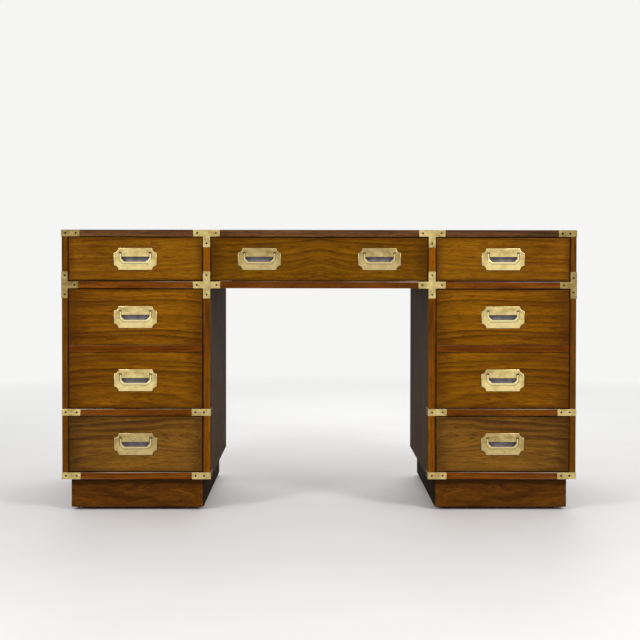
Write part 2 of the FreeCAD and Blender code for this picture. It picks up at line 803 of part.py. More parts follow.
def make_drawers():
    file_opening = upper_rail_low - lower_rail_top
    top_pull = upper_rail_top + d.top_opening / 2
    bottom_pull = bottom_rail_top + d.bottom_opening / 2
    file_middle = lower_rail_top + file_opening / 2
    file_offset = (file_opening / 2 - d.front_gap + d.false_rail_height / 2 + d.false_rail_groove) / 2
    shallow, deep = d.shallow_side_drop, d.file_side_drop
    for side, sign in SIDES:
        middle = pedestal_middle * sign
        top_bail = [(f"{side}_top_bail", 0, top_pull)]
        make_drawer(f"{side}_top", middle, opening_half, upper_rail_top, d.top_opening, shallow, top_bail)
        file_bails = [(f"{side}_file_upper_bail", 0, file_middle + file_offset)]
        file_bails.append((f"{side}_file_lower_bail", 0, file_middle - file_offset))
        make_drawer(
            f"{side}_file", middle, opening_half, lower_rail_top, file_opening, deep, file_bails, file_middle
        )
        bottom_bail = [(f"{side}_bottom_bail", 0, bottom_pull)]
        make_drawer(
            f"{side}_bottom", middle, opening_half, bottom_rail_top, d.bottom_opening, shallow, bottom_bail
        )
    centre_bails = [(f"centre_{side}_bail", d.pull_spread / 2 * sign, top_pull) for side, sign in SIDES]
    make_drawer("centre", as_size(0), half_knee, upper_rail_top, d.top_opening, shallow, centre_bails)


# Building, checking and writing every piece

wood_drills, corner_brackets = make_mounts()
make_top(wood_drills, corner_brackets)
make_sides(wood_drills)
make_rails(wood_drills)
make_back_and_floor()
make_runners()
make_plinths()
make_drawers()
doc.recompute()

failed = [item.Label for item in doc.Objects if {"Invalid", "Error"} & set(item.State)]
failed += [item.Label for item in sub_parts if item.Shape.isNull() or not item.Shape.isValid()]
if failed:
    raise RuntimeError(f"these pieces failed: {failed}")
os.makedirs("parts", exist_ok=True)
for item in sub_parts:
    item.Shape.exportStep(f"parts/{item.Label}.step")
print(f"{len(sub_parts)} pieces, {sum(len(item.Shape.Solids) for item in sub_parts)} solids")
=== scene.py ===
# A double-pedestal campaign desk in golden-brown veneer with brass mounts and recessed brass pulls.
# It is put together here from the floor up: plinths, pedestals, top, brass mounts, drawers and pulls.
import json
import math
import bmesh
import bpy
from mathutils import Color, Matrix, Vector

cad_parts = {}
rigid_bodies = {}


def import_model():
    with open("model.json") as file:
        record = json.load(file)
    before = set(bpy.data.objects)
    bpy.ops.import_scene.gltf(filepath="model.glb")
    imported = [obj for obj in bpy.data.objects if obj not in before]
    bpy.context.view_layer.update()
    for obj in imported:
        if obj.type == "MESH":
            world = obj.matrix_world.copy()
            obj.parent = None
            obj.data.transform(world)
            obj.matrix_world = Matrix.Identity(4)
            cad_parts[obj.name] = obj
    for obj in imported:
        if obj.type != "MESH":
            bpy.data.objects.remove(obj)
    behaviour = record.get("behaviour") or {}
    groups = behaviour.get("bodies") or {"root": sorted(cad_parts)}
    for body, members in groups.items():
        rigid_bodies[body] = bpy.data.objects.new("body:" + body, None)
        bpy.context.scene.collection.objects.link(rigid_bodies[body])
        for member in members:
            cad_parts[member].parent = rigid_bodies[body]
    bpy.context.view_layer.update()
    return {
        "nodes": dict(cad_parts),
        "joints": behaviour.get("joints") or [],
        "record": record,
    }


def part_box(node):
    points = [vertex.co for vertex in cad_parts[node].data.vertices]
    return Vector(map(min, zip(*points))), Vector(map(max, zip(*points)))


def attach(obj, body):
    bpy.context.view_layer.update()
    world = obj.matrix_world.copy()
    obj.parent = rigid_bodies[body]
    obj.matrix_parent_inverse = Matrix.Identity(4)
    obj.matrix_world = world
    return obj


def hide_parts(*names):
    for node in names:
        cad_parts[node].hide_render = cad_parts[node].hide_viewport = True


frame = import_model()


# Plinths: each pedestal stands on a mitred frame of four dark-stained boards, set back under the case.
# The outer corners are softened with a plane and the long edges eased before the stain and lacquer go on.

PLINTH_THICK = 0.019
PLINTH_CORNER = 0.005
INNER_CORNER = 0.001
PLINTH_EASE = 0.0015
CORNER_STEPS = 6
SMOOTH_FROM = 16
SIDEWAYS = 0.71


def paint(red, green, blue):
    """A colour as it looks, from 0 to 255, as the linear colour that a shader takes."""
    looks = Color((red / 255, green / 255, blue / 255))
    return (*looks.from_srgb_to_scene_linear(), 1.0)


class Field:
    """A node's output, a number or a vector, so that a sum on it can be written as it is read."""

    def __init__(self, socket):
        self.socket = socket
        self.tree = socket.id_data

    def reckon(self, operation, *terms):
        """The result of one sum, on numbers or on vectors, whichever this field is."""
        kind = "ShaderNodeMath" if self.socket.type == "VALUE" else "ShaderNodeVectorMath"
        return add(self.tree, kind, dict(enumerate(terms)), operation=operation)[0]

    def __add__(self, other):
        return self.reckon("ADD", self, other)

    def __sub__(self, other):
        return self.reckon("SUBTRACT", self, other)

    def __rsub__(self, other):
        return self.reckon("SUBTRACT", other, self)

    def __mul__(self, other):
        return self.reckon("MULTIPLY", self, other)

    def __truediv__(self, other):
        return self.reckon("DIVIDE", self, other)

    def __pow__(self, other):
        return self.reckon("POWER", self, other)

    def __abs__(self):
        return self.reckon("ABSOLUTE", self)

    def at_least(self, other):
        return self.reckon("MAXIMUM", self, other)

    def exp(self):
        return self.reckon("EXPONENT", self)

    def length(self):
        return add(self.tree, "ShaderNodeVectorMath", {0: self}, operation="LENGTH")["Value"]

    def split(self):
        """The three numbers of a vector, by the letters of their axes."""
        return add(self.tree, "ShaderNodeSeparateXYZ", {0: self})

    def spread(self, low, high, new_low=0.0, new_high=1.0):
        """The number carried from one range to another and held inside it."""
        limits = {"From Min": low, "From Max": high, "To Min": new_low, "To Max": new_high}
        return add(self.tree, "ShaderNodeMapRange", {"Value": self, **limits})["Result"]

    def cloud(self, scale, detail=2.0, output=0):
        """Noise on a place scaled along each axis; output 0 is a number and 1 a colour."""
        noise = {"Vector": self * scale, "Scale": 1.0, "Detail": detail}
        return add(self.tree, "ShaderNodeTexNoise", noise)[output]


def feed(node, inputs):
    """Gives each named or numbered input of a node a plain value or a field."""
    for name, value in inputs.items():
        if isinstance(value, Field):
            node.id_data.links.new(value.socket, node.inputs[name])
        else:
            node.inputs[name].default_value = value


def add(tree, kind, inputs=None, **settings):
    """Adds a node with its settings and inputs; its outputs come back as fields, by number and by name."""
    node = tree.nodes.new(kind)
    for name, value in settings.items():
        setattr(node, name, value)
    feed(node, inputs or {})
    outputs = {}
    for number, socket in enumerate(node.outputs):
        outputs[number] = outputs[socket.name] = Field(socket)
    return outputs


def join(*parts):
    """A vector from three numbers, at least one of which is a field."""
    tree = next(part.tree for part in parts if isinstance(part, Field))
    return add(tree, "ShaderNodeCombineXYZ", dict(enumerate(parts)))[0]


def tint(factor, first, second):
    """The first colour turned towards the second by a factor."""
    return add(factor.tree, "ShaderNodeMix", {0: factor, 6: first, 7: second}, data_type="RGBA")[2]


def new_group(name, vectors, numbers):
    """A shader node group with named inputs, and those inputs as fields."""
    group = bpy.data.node_groups.new(name, "ShaderNodeTree")
    for kind, labels in (("Vector", vectors), ("Float", numbers)):
        for label in labels:
            group.interface.new_socket(label, in_out="INPUT", socket_type=f"NodeSocket{kind}")
    return group, add(group, "NodeGroupInput")


def put_out(group, masks):
    """Gives a group its outputs, one for each named mask."""
    for label in masks:
        group.interface.new_socket(label, in_out="OUTPUT", socket_type="NodeSocketFloat")
    add(group, "NodeGroupOutput", masks)
    return group


SWEEP_REACH = 0.12
KNOT_SIZE = (0.08, 1.0, 0.034)
KNOT_PUSH = 0.9
NO_KNOT = (9.0, 9.0, 9.0)


def make_wood_figure():
    """Growth rings round a slanting heart, with bands, streaks, flecks and pores that follow them.
    The grain runs along X and parts round a knot, and a sweep turns it down to both sides of the seam of
    matched veneer."""
    numbers = ["Slant", "Sweep", "Ring Width", "Waver"]
    group, given = new_group("wood_figure", ["Place", "Heart", "Knot"], numbers)
    place = given["Place"]
    parts = place.split()
    seam = (abs(parts["X"]) / -SWEEP_REACH).exp()
    lean = (1.0 - seam) * given["Sweep"] * SWEEP_REACH
    from_knot = place - given["Knot"]
    near = ((from_knot / KNOT_SIZE).length() ** 2.0 * -1.0).exp()
    parted = from_knot.split()["Z"] * near * KNOT_PUSH
    away = place + join(0.0, 0.0, lean - parted) - given["Heart"]
    drift = (place.cloud((3.0, 9.0, 9.0), output=1) - (0.5, 0.5, 0.5)) * given["Waver"]
    bent = away * join(given["Slant"], 1.0, 1.0) + drift
    ripple = place.cloud((7.0, 60.0, 60.0)) - 0.5
    distance = bent.length() + ripple * 0.007
    flow = join(parts["X"], distance, parts["Y"])
    across = bent.split()
    fibre = join(parts["X"], across["Y"], across["Z"])
    years = flow.cloud((0.6, 34.0, 2.0), 1.0) - 0.5
    grown = (distance + years * 0.03) / given["Ring Width"]
    turn = grown.reckon("FRACT", grown)
    ring = turn.spread(0.0, 0.82) ** 2.6 * turn.spread(0.84, 1.0, 1.0, 0.0)
    strength = flow.cloud((1.5, 42.0, 3.0), 1.0).spread(0.38, 0.58, 0.1, 1.0)
    return put_out(group, {
        "Rings": (ring * strength).at_least(near.spread(0.9, 1.0, 0.0, 0.6)),
        "Bands": flow.cloud((2.0, 40.0, 4.0)).spread(0.34, 0.66),
        "Streaks": fibre.cloud((9.0, 210.0, 210.0), 3.0).spread(0.30, 0.70),
        "Flecks": fibre.cloud((28.0, 330.0, 330.0), 1.0).spread(0.57, 0.70),
        "Pores": fibre.cloud((50.0, 1100.0, 1100.0), 1.0).spread(0.57, 0.64),
        "Clouds": place.cloud((4.0, 12.0, 12.0)),
    })


def make_edge_rub_highlight():
    """Where marked edges are lightened, in patches: wear from rubbing, and a painted highlight stronger on
    edges that face up.
    """
    group, given = new_group("edge_rub_highlight", ["Place", "Facing"], ["Wear And Shading"])
    lit_from_above = given["Facing"].split()["Z"].spread(-0.2, 0.5, 0.3, 1.0)
    patches = given["Place"].cloud((7.0, 40.0, 40.0)).spread(0.38, 0.6, 0.15, 0.9)
    return put_out(group, {"Rub And Highlight": given["Wear And Shading"] * lit_from_above * patches})


def make_rim_darkening():
    """How dark a board's rim is painted, from the board's middle and half size and how far in the darkening
    reaches:
    glazing with painted shade on the drawer fronts, and a painted shadow on the plinths."""
    group, given = new_group("rim_darkening", ["Place", "Middle", "Half Size", "Reach"], ["Clouds"])
    room = (given["Half Size"] - abs(given["Place"] - given["Middle"])) / given["Reach"]
    sides = room.split()
    nearest = sides["X"].reckon("MINIMUM", sides["X"], sides["Z"])
    uneven = nearest + given["Clouds"] * 0.35
    return put_out(group, {"Shade": uneven.spread(0.12, 1.0, 0.6, 0.0)})


wood_figure = make_wood_figure()
edge_rub_highlight = make_edge_rub_highlight()
rim_darkening = make_rim_darkening()


def new_material(name):
    """A material with its shader and the place of each point on the piece."""
    material = bpy.data.materials.new(name)
    material.use_nodes = True
    tree = material.node_tree
    return material, tree.nodes["Principled BSDF"], add(tree, "ShaderNodeTexCoord")["Object"]


def surface(shader, colour, dull, height, strength, depth):
    """Gives a shader its colour and roughness and a bump from a height."""
    relief = {"Height": height, "Strength": strength, "Distance": depth}
    bump = add(shader.id_data, "ShaderNodeBump", relief)[0]
    feed(shader, {"Base Color": colour, "Roughness": dull, "Normal": bump})


def wood(name, dark, middle, light, heart, along="X", slant=0.22, sweep=0.0, ring=0.011, waver=0.03,
         knot=NO_KNOT, matched=False, rough=0.36, shine=0.04, rings=0.35, bands=0.4, pores=0.55, flecks=0.55,
         rub_highlight=None, dark_rim=None, fade=None):
    """Stained and lacquered wood. The grain runs along one axis, and matched veneer mirrors left to right.
    Rings, bands, pores and flecks say how strong each is, and the rubbing colour lightens marked edges, as
    wear and as a painted highlight. A dark rim is the middle and half size of a board whose rim is painted
    darker, glazing with painted shade on the fronts and a painted shadow on the plinths, and how far in the
    darkening reaches, and a fade is the two points between which the wood turns lighter, with the grain along
    X, and by how much at each."""
    material, shader, place = new_material(name)
    tree = place.tree
    parts = place.split()
    x = abs(parts["X"]) if matched else parts["X"]
    y, z = parts["Y"], parts["Z"]
    turned = join(*{"X": (x, y, z), "Y": (y, x, z), "Z": (z, y, x)}[along])
    grain = {"Place": turned, "Heart": heart, "Knot": knot, "Slant": slant, "Sweep": sweep,
             "Ring Width": ring, "Waver": waver}
    mask = add(tree, "ShaderNodeGroup", grain, node_tree=wood_figure)
    lift = mask["Streaks"] * (1.0 - bands) + mask["Bands"] * bands
    if fade:
        start, end, least, most = fade
        way = Vector(end) - Vector(start)
        terms = {0: turned - start, 1: way / way.length_squared}
        gone = add(tree, "ShaderNodeVectorMath", terms, operation="DOT_PRODUCT")["Value"]
        lift = lift + gone.spread(0.0, 1.0, least, most)
    colour = tint(lift, middle, light)
    colour = tint(mask["Clouds"].spread(0.35, 0.65, 0.25, 0.0), colour, dark)
    colour = tint(mask["Rings"] * rings, colour, dark)
    colour = tint((mask["Pores"] * pores).at_least(mask["Flecks"] * flecks), colour, dark)
    # A board's rim is painted darker: glazing with painted shade on the fronts, a painted shadow on the
    # plinths.
    if dark_rim:
        rim = {"Place": join(x, y, z), "Clouds": mask["Clouds"]}
        rim.update(zip(("Middle", "Half Size", "Reach"), dark_rim))
        colour = tint(add(tree, "ShaderNodeGroup", rim, node_tree=rim_darkening)["Shade"], colour, dark)
    # Marked edges are lightened towards the rubbing colour, as wear and as a painted highlight stronger where
    # they face up.
    wear_and_shading = add(tree, "ShaderNodeAttribute", attribute_name="wear_and_shading")["Fac"]
    facing = add(tree, "ShaderNodeNewGeometry")["Normal"]
    edges = {"Place": place, "Facing": facing, "Wear And Shading": wear_and_shading}
    rub_and_highlight = add(tree, "ShaderNodeGroup", edges, node_tree=edge_rub_highlight)["Rub And Highlight"]
    colour = tint(rub_and_highlight, colour, rub_highlight or light)
    dull = mask["Clouds"].spread(0.3, 0.7, rough - 0.05, rough + 0.05) + mask["Pores"] * 0.12
    surface(shader, colour, dull, mask["Rings"] * 0.3 - mask["Pores"], strength=0.35, depth=0.0002)
    feed(shader, {"Specular IOR Level": shine})
    return material


def loft(bm, loops):
    """Skins closed loops of points one after another; each loop has a mark for wear and painted highlight, or
    below zero for dirt and painted shade.
    """
    layer = bm.verts.layers.float.get("wear_and_shading") or bm.verts.layers.float.new("wear_and_shading")
    rings = []
    for points, wear_and_shading in loops:
        ring = [bm.verts.new(point) for point in points]
        for vert in ring:
            vert[layer] = wear_and_shading
        rings.append(ring)
    for ring, following in zip(rings, rings[1:]):
        for here in range(len(ring)):
            corners = (ring[here - 1], ring[here], following[here], following[here - 1])
            bm.faces.new(corners).smooth = len(ring) > SMOOTH_FROM
    return rings


def cap(bm, *rings):
    """Closes the flat area of a ring of vertices, or the area between rings."""
    edges = []
    for ring in rings:
        for here in range(len(ring)):
            pair = (ring[here - 1], ring[here])
            edges.append(bm.edges.get(pair) or bm.edges.new(pair))
    filled = bmesh.ops.triangle_fill(bm, use_beauty=True, edges=edges)
    for made in filled["geom"]:
        if isinstance(made, bmesh.types.BMFace):
            made.smooth = False


def arc(x, y, radius, first, last, steps=8):
    """Points on a part of a circle, between two angles in degrees."""
    for step in range(steps + 1):
        angle = math.radians(first + (last - first) * step / steps)
        yield Vector((x + radius * math.cos(angle), y + radius * math.sin(angle)))


def rounded_rectangle(low_x, high_x, low_y, high_y, radius):
    """An outline that runs anticlockwise, with round corners."""
    outline = []
    corners = [(high_x - radius, low_y + radius), (high_x - radius, high_y - radius)]
    corners += [(low_x + radius, high_y - radius), (low_x + radius, low_y + radius)]
    for first, (x, y) in zip((-90, 0, 90, 180), corners):
        outline += arc(x, y, radius, first, first + 90, CORNER_STEPS)
    return outline


def inset(outline, distance):
    """An anticlockwise outline drawn in by a distance, or let out by a negative one."""
    drawn = []
    for here, point in enumerate(outline):
        before = (point - outline[here - 1]).normalized()
        after = (outline[(here + 1) % len(outline)] - point).normalized()
        inwards = Vector((-before.y, before.x)), Vector((-after.y, after.x))
        drawn.append(point + (inwards[0] + inwards[1]) * (distance / (1 + inwards[0].dot(inwards[1]))))
    return drawn


def quarter_round(radius, steps=3):
    """Pairs of how far in and how far back a rounded edge is, from the side of a board to its face."""
    angles = [math.radians(90 * step / steps) for step in range(steps + 1)]
    return [(radius * (1 - math.cos(angle)), radius * (1 - math.sin(angle))) for angle in angles]


def in_scene(name, data):
    """A new object in the scene, of a mesh, a lamp or a camera."""
    made = bpy.data.objects.new(name, data)
    bpy.context.scene.collection.objects.link(made)
    return made


def as_mesh(name, bm):
    """A plain mesh of a shape that is done with."""
    mesh = bpy.data.meshes.new(name)
    bm.to_mesh(mesh)
    bm.free()
    return mesh


def shown(name, mesh, body, slot, *nodes):
    """Makes a mesh a piece that rides on a body and hides the nodes it stands for; the slot is not used."""
    made = in_scene(name, mesh)
    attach(made, body)
    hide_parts(*nodes)


def fitted(name, bm, body, slot, node, finishes, choose=lambda face: 0):
    """Makes a shape the piece that stands for a CAD node; the choice is the number of each face's finish."""
    mesh = as_mesh(name, bm)
    for finish in finishes:
        mesh.materials.append(finish)
    for face in mesh.polygons:
        face.material_index = choose(face)
    shown(name, mesh, body, slot, node)


def make_plinths():
    low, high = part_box("plinth_boards")
    set_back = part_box("right_outer_side")[1].x - high.x
    inner_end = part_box("right_inner_side")[0].x + set_back
    rounded = quarter_round(PLINTH_EASE)
    levels = [(inward, low.z + back) for inward, back in reversed(rounded)]
    levels += [(inward, high.z - back) for inward, back in rounded]
    marks = (0.0, 1.0, 1.0, 0.0) * 2
    thick = PLINTH_THICK
    bm = bmesh.new()
    for sign in (-1, 1):
        left, right = sorted((sign * inner_end, sign * high.x))
        outside = rounded_rectangle(left, right, low.y, high.y, PLINTH_CORNER)
        inside = rounded_rectangle(left + thick, right - thick, low.y + thick, high.y - thick, INNER_CORNER)
        outer = loft(bm, [([(*point, z) for point in inset(outside, inward)], mark)
                          for (inward, z), mark in zip(levels, marks)])
        inner = loft(bm, [([(*point, z) for point in inside], 0.0) for z in (low.z, high.z)])
        for end in (0, -1):
            cap(bm, outer[end], inner[end])
    bmesh.ops.recalc_face_normals(bm, faces=bm.faces)
    return bm


def plinth_side(face):
    """Which finish a face of the plinths takes: that of the front, an outer end or an end in the kneehole."""
    if abs(face.normal.x) < SIDEWAYS:
        return 0
    return 1 if face.normal.x * face.center.x > 0.0 else 2


plinth_tones = paint(40, 18, 2), paint(68, 36, 4), paint(122, 72, 14)
# The plinths' darker top is a painted shadow of the case that overhangs them.
plinth_top_shadow = (0.0, 0.0, -0.2), (1.0, 1.0, 0.29), (0.034, 1.0, 0.034)
plinth_grain = {"ring": 0.016, "waver": 0.07, "matched": True}
plinth_front = wood("plinth_front", *plinth_tones, (1.2, -0.1, -0.2), slant=0.3, dark_rim=plinth_top_shadow,
                    **plinth_grain)
end_grain = {"heart": (0.1, 0.9, -0.2), "along": "Y", **plinth_grain}
plinth_end = wood("plinth_end", *plinth_tones, dark_rim=plinth_top_shadow, **end_grain)
# The plinth ends that face the kneehole take darker, duller tones as painted shade.
shaded_tones = paint(18, 11, 6), paint(32, 21, 12), paint(50, 34, 20)
shaded_end = wood("shaded_end", *shaded_tones, rough=0.7, shine=0.01, **end_grain)
plinth_finishes = [plinth_front, plinth_end, shaded_end]
fitted("plinths", make_plinths(), "frame", "plinth_wood", "plinth_boards", plinth_finishes, plinth_side)


# Blocks and glides: glue blocks of pale wood brace the plinth corners and carry the floor glides.
# The blocks are left bare, and the glides are turned from dark nylon with a chamfered rim.

def coat(node, finish):
    """Gives a CAD node that stays a better finish."""
    for slot in frame["nodes"][node].material_slots:
        slot.material = finish


def make_fine_skin():
    """The fine unevenness of a skin and the broader clouds in it, at a given scale."""
    group, given = new_group("fine_skin", ["Place"], ["Scale"])
    masks = {}
    for label, part, detail in (("Fine", 1.0, 2.0), ("Broad", 1 / 12, 3.0)):
        noise = {"Vector": given["Place"], "Scale": given["Scale"] * part, "Detail": detail}
        masks[label] = add(group, "ShaderNodeTexNoise", noise)[0]
    return put_out(group, masks)


fine_skin = make_fine_skin()


def speckled(name, colour, second, rough, scale=900.0, metal=0.0, shine=0.5):
    """Moulded or painted stuff with a fine uneven skin."""
    material, shader, place = new_material(name)
    skin = add(place.tree, "ShaderNodeGroup", {"Place": place, "Scale": scale}, node_tree=fine_skin)
    mottled = tint(skin["Broad"].spread(0.35, 0.65), colour, second)
    dull = skin["Broad"].spread(0.3, 0.7, rough - 0.08, rough + 0.08)
    surface(shader, mottled, dull, skin["Fine"], strength=0.3, depth=0.00006)
    feed(shader, {"Metallic": metal, "Specular IOR Level": shine})
    return material


pale_tones = paint(150, 112, 66), paint(196, 160, 108), paint(214, 184, 134)
bare_block = wood("bare_block", *pale_tones, (0.2, 0.3, -0.4), rough=0.6, pores=0.3)
coat("plinth_corner_blocks", bare_block)
coat("floor_glides", speckled("dark_nylon", paint(52, 49, 46), paint(64, 60, 56), 0.5))


# Pedestal walls: veneered boards with a solid front edge, which shows between the drawers as the stiles.
# The faces have upright grain, and the edges are eased by hand after lipping.

SIDE_EASE = 0.0012
LONG_EDGE = 0.1
WELD = 0.000002
CLOSE = 0.0001
FLAT = math.radians(1)
SHARP = math.radians(40)
FORWARD = -0.4


def next_face(face, start, end, others):
    """Of the faces that meet a face at an edge, the one that closes the solid behind it."""
    along = (end.co - start.co).normalized()
    inward = face.normal.cross(along)

    def turn_through_solid(other):
        other_inward = along.cross(other.normal)
        turn = math.atan2(-other_inward.dot(face.normal), other_inward.dot(inward))
        return turn if turn > FLAT else turn + 2 * math.pi

    return min(others, key=turn_through_solid)


def solids(node):
    """The closed solids of a CAD node, each a mesh of its own with its flat faces made whole."""
    whole = bmesh.new()
    whole.from_mesh(frame["nodes"][node].data)
    merged = bmesh.ops.find_doubles(whole, verts=whole.verts, dist=WELD)["targetmap"]
    corners = {face: [merged.get(vert, vert) for vert in face.verts] for face in whole.faces}
    sides = {face: list(zip(loop, loop[1:] + loop[:1])) for face, loop in corners.items()}
    faces_at = {}
    for face, pairs in sides.items():
        for pair in pairs:
            faces_at.setdefault(pair, []).append(face)
    seen = set()
    found = []
    for first in whole.faces:
        if first in seen:
            continue
        seen.add(first)
        waiting = [first]
        solid = bmesh.new()
        copies = {}
        while waiting:
            face = waiting.pop()
            for vert in corners[face]:
                if vert not in copies:
                    copies[vert] = solid.verts.new(vert.co)
            solid.faces.new([copies[vert] for vert in corners[face]])
            for start, end in sides[face]:
                other = next_face(face, start, end, faces_at[end, start])
                if other not in seen:
                    seen.add(other)
                    waiting.append(other)
        bmesh.ops.dissolve_limit(solid, angle_limit=FLAT, verts=solid.verts, edges=solid.edges)
        found.append(solid)
    whole.free()
    return found


def is_corner(edge):
    """True at an outside edge where two faces meet at a clear angle."""
    return edge.is_manifold and edge.calc_face_angle_signed() > SHARP


def eased(node, radius, shortest=LONG_EDGE, chosen=lambda edge: True):
    """The solids of a CAD node as one mesh, their long outside edges rounded and marked for wear and painted
    highlight.
    """
    joined = bmesh.new()
    layer = joined.verts.layers.float.new("wear_and_shading")
    for solid in solids(node):
        long_edges = [edge for edge in solid.edges if edge.calc_length() > shortest]
        picked = [edge for edge in long_edges if is_corner(edge) and chosen(edge)]
        bevelled = bmesh.ops.bevel(solid, geom=picked, offset=radius, offset_type="OFFSET", segments=3,
                                   profile=0.5, affect="EDGES", clamp_overlap=False)
        for face in bevelled["faces"]:
            face.smooth = True
        bmesh.ops.dissolve_degenerate(solid, dist=WELD, edges=solid.edges)
        copies = {}
        for vert in solid.verts:
            copies[vert] = joined.verts.new(vert.co)
            copies[vert][layer] = float(all(face.smooth for face in vert.link_faces))
        for face in solid.faces:
            joined.faces.new([copies[vert] for vert in face.verts]).smooth = face.smooth
        solid.free()
    return joined


outer_stile_tones = paint(52, 25, 1), paint(78, 42, 1), paint(128, 76, 6)
inner_stile_tones = paint(58, 26, 1), paint(80, 40, 1), paint(154, 90, 4)
stile_grain = {"along": "Z", "ring": 0.006, "waver": 0.008, "matched": True}
stile_fade = (0.6, 0.0, 0.0), (0.66, 0.0, 0.0), 0.0, 1.0
outer_stile = wood("outer_stile", *outer_stile_tones, (0.3, -0.1, 0.9), **stile_grain)
inner_stile = wood("inner_stile", *inner_stile_tones, (0.3, -0.1, 0.6), fade=stile_fade, **stile_grain)
side_tones = paint(52, 28, 5), paint(82, 48, 10), paint(112, 70, 20)
# The kneehole walls take darker, duller tones than the outer walls, as painted shade.
kneehole_shade_tones = paint(34, 21, 8), paint(58, 40, 18), paint(80, 58, 30)
side_grain = {"along": "Z", "slant": 0.16, "matched": True}
side_veneer = wood("side_veneer", *side_tones, (0.42, 0.04, 0.5), rough=0.5, **side_grain)
kneehole_veneer = wood("kneehole_veneer", *kneehole_shade_tones, (0.38, 0.04, 0.4), rough=0.62, shine=0.02,
                       **side_grain)
for place, finishes in (("outer", [side_veneer, outer_stile]), ("inner", [kneehole_veneer, inner_stile])):
    for hand in ("left", "right"):
        wall = f"{hand}_{place}_side"
        fitted(f"{wall}_board", eased(wall, SIDE_EASE), "frame", "case_wood", wall, finishes,
               lambda face: int(face.normal.y < FORWARD))


# Floors and backs: thin panels close each pedestal underneath and behind, and a rail ties the two together.
# The backs and the rail are stained, more plainly because they face the wall, and the floors are left bare.

back_tones = paint(74, 42, 12), paint(104, 66, 24), paint(124, 84, 36)
back_veneer = wood("back_veneer", *back_tones, (0.49, 0.2, -0.3), along="Z", rough=0.5, matched=True)
coat("pedestal_back_panels", back_veneer)
coat("pedestal_floors", bare_block)
back_rail_wood = wood("back_rail_wood", *back_tones, (0.1, 0.35, 0.55), rough=0.45)
fitted("kneehole_tie", eased("kneehole_back_rail", SIDE_EASE), "frame", "case_wood", "kneehole_back_rail",
       [back_rail_wood])


# Rails and runners: seven solid rails part the drawers and lie flush with the stiles, a little redder.
# Stepped runners of pale wood lie along the walls inside, and the drawer sides slide on them.

RAIL_EASE = 0.0018
# A pale colour for the rails' edges, lightened by rubbing, which is also a painted highlight along their top
# edges.
EDGE_RUB_HIGHLIGHT = paint(226, 208, 190)
rail_tones = paint(58, 24, 1), paint(90, 44, 1), paint(154, 88, 14)
knee_rail_tones = paint(46, 18, 2), paint(76, 37, 5), paint(128, 72, 16)
rail_grain = {"slant": 0.1, "ring": 0.006, "waver": 0.008, "matched": True}
rail_wood = wood("rail_wood", *rail_tones, (0.3, 0.2, 0.45), rub_highlight=EDGE_RUB_HIGHLIGHT, **rail_grain)
knee_rail_wood = wood("knee_rail_wood", *knee_rail_tones, (0.3, 0.2, 0.45), rub_highlight=EDGE_RUB_HIGHLIGHT, **rail_grain)
kneehole_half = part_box("right_inner_side")[0].x
fitted("rails", eased("front_rails", RAIL_EASE), "frame", "case_wood", "front_rails",
       [rail_wood, knee_rail_wood], lambda face: int(abs(face.center.x) < kneehole_half + CLOSE))
runner_wood = wood("runner_wood", *pale_tones, (0.2, 0.5, -0.4), along="Y", rough=0.55, rings=0.4, pores=0.3)
coat("drawer_runners", runner_wood)


# Top: a veneered panel with four mitred strips of solid wood round it, level with the panel.
# The strips are a cooler brown than the drawers, and their outer edges are rounded over.

LIPPING_EASE = 0.0018
PANEL_EASE = 0.0003
top_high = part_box("top_lipping")[1]


def edge_middle(edge):
    """The point halfway along an edge."""
    return (edge.verts[0].co + edge.verts[1].co) / 2


def is_outer_edge(edge):
    """True where an edge runs along the outside of the desk's top."""
    middle = edge_middle(edge)
    return abs(abs(middle.x) - top_high.x) < CLOSE or abs(abs(middle.y) - top_high.y) < CLOSE


def runs_to_back(face):
    """1 on the strips at the two ends of the top, which run from front to back."""
    beyond_end = abs(face.center.x) - top_high.x
    beyond_front = abs(face.center.y) - top_high.y
    return int(beyond_end > beyond_front)


panel_tones = paint(56, 31, 7), paint(88, 53, 12), paint(122, 80, 26)
panel_veneer = wood("panel_veneer", *panel_tones, (0.1, 0.12, 0.7), slant=0.16, ring=0.013, matched=True)
fitted("top_panel", eased("desk_top", PANEL_EASE), "frame", "veneer", "desk_top", [panel_veneer])
lipping_tones = paint(38, 20, 11), paint(62, 37, 20), paint(132, 90, 52)
lipping_grain = {"slant": 0.08, "ring": 0.005, "waver": 0.008, "rough": 0.4}
lipping_x = wood("lipping_front", *lipping_tones, (0.2, 0.2, 0.4), **lipping_grain)
lipping_y = wood("lipping_end", *lipping_tones, (0.2, 0.3, 0.4), along="Y", **lipping_grain)
fitted("lipping", eased("top_lipping", LIPPING_EASE, chosen=is_outer_edge), "frame", "edge_wood",
       "top_lipping", [lipping_x, lipping_y], runs_to_back)


# Brass mounts: corners, tees, crosses and straps are cut from sheet brass and wrap the corners of the case.
# They are aged rather than polished, and small dark slotted screws hold them.

MOUNT_EASE = 0.00035
MOUNT_EDGE = 0.004
HEAD_RADIUS = 0.003
HEAD_RISE = -0.0001
HEAD_ROOM = 0.00005
HEAD_SHANK = 0.001
SLOT_WIDTH = 0.0007
SLOT_DEPTH = 0.0006
CHAMFER_SHARE = 0.08
MOON_STEPS = 9


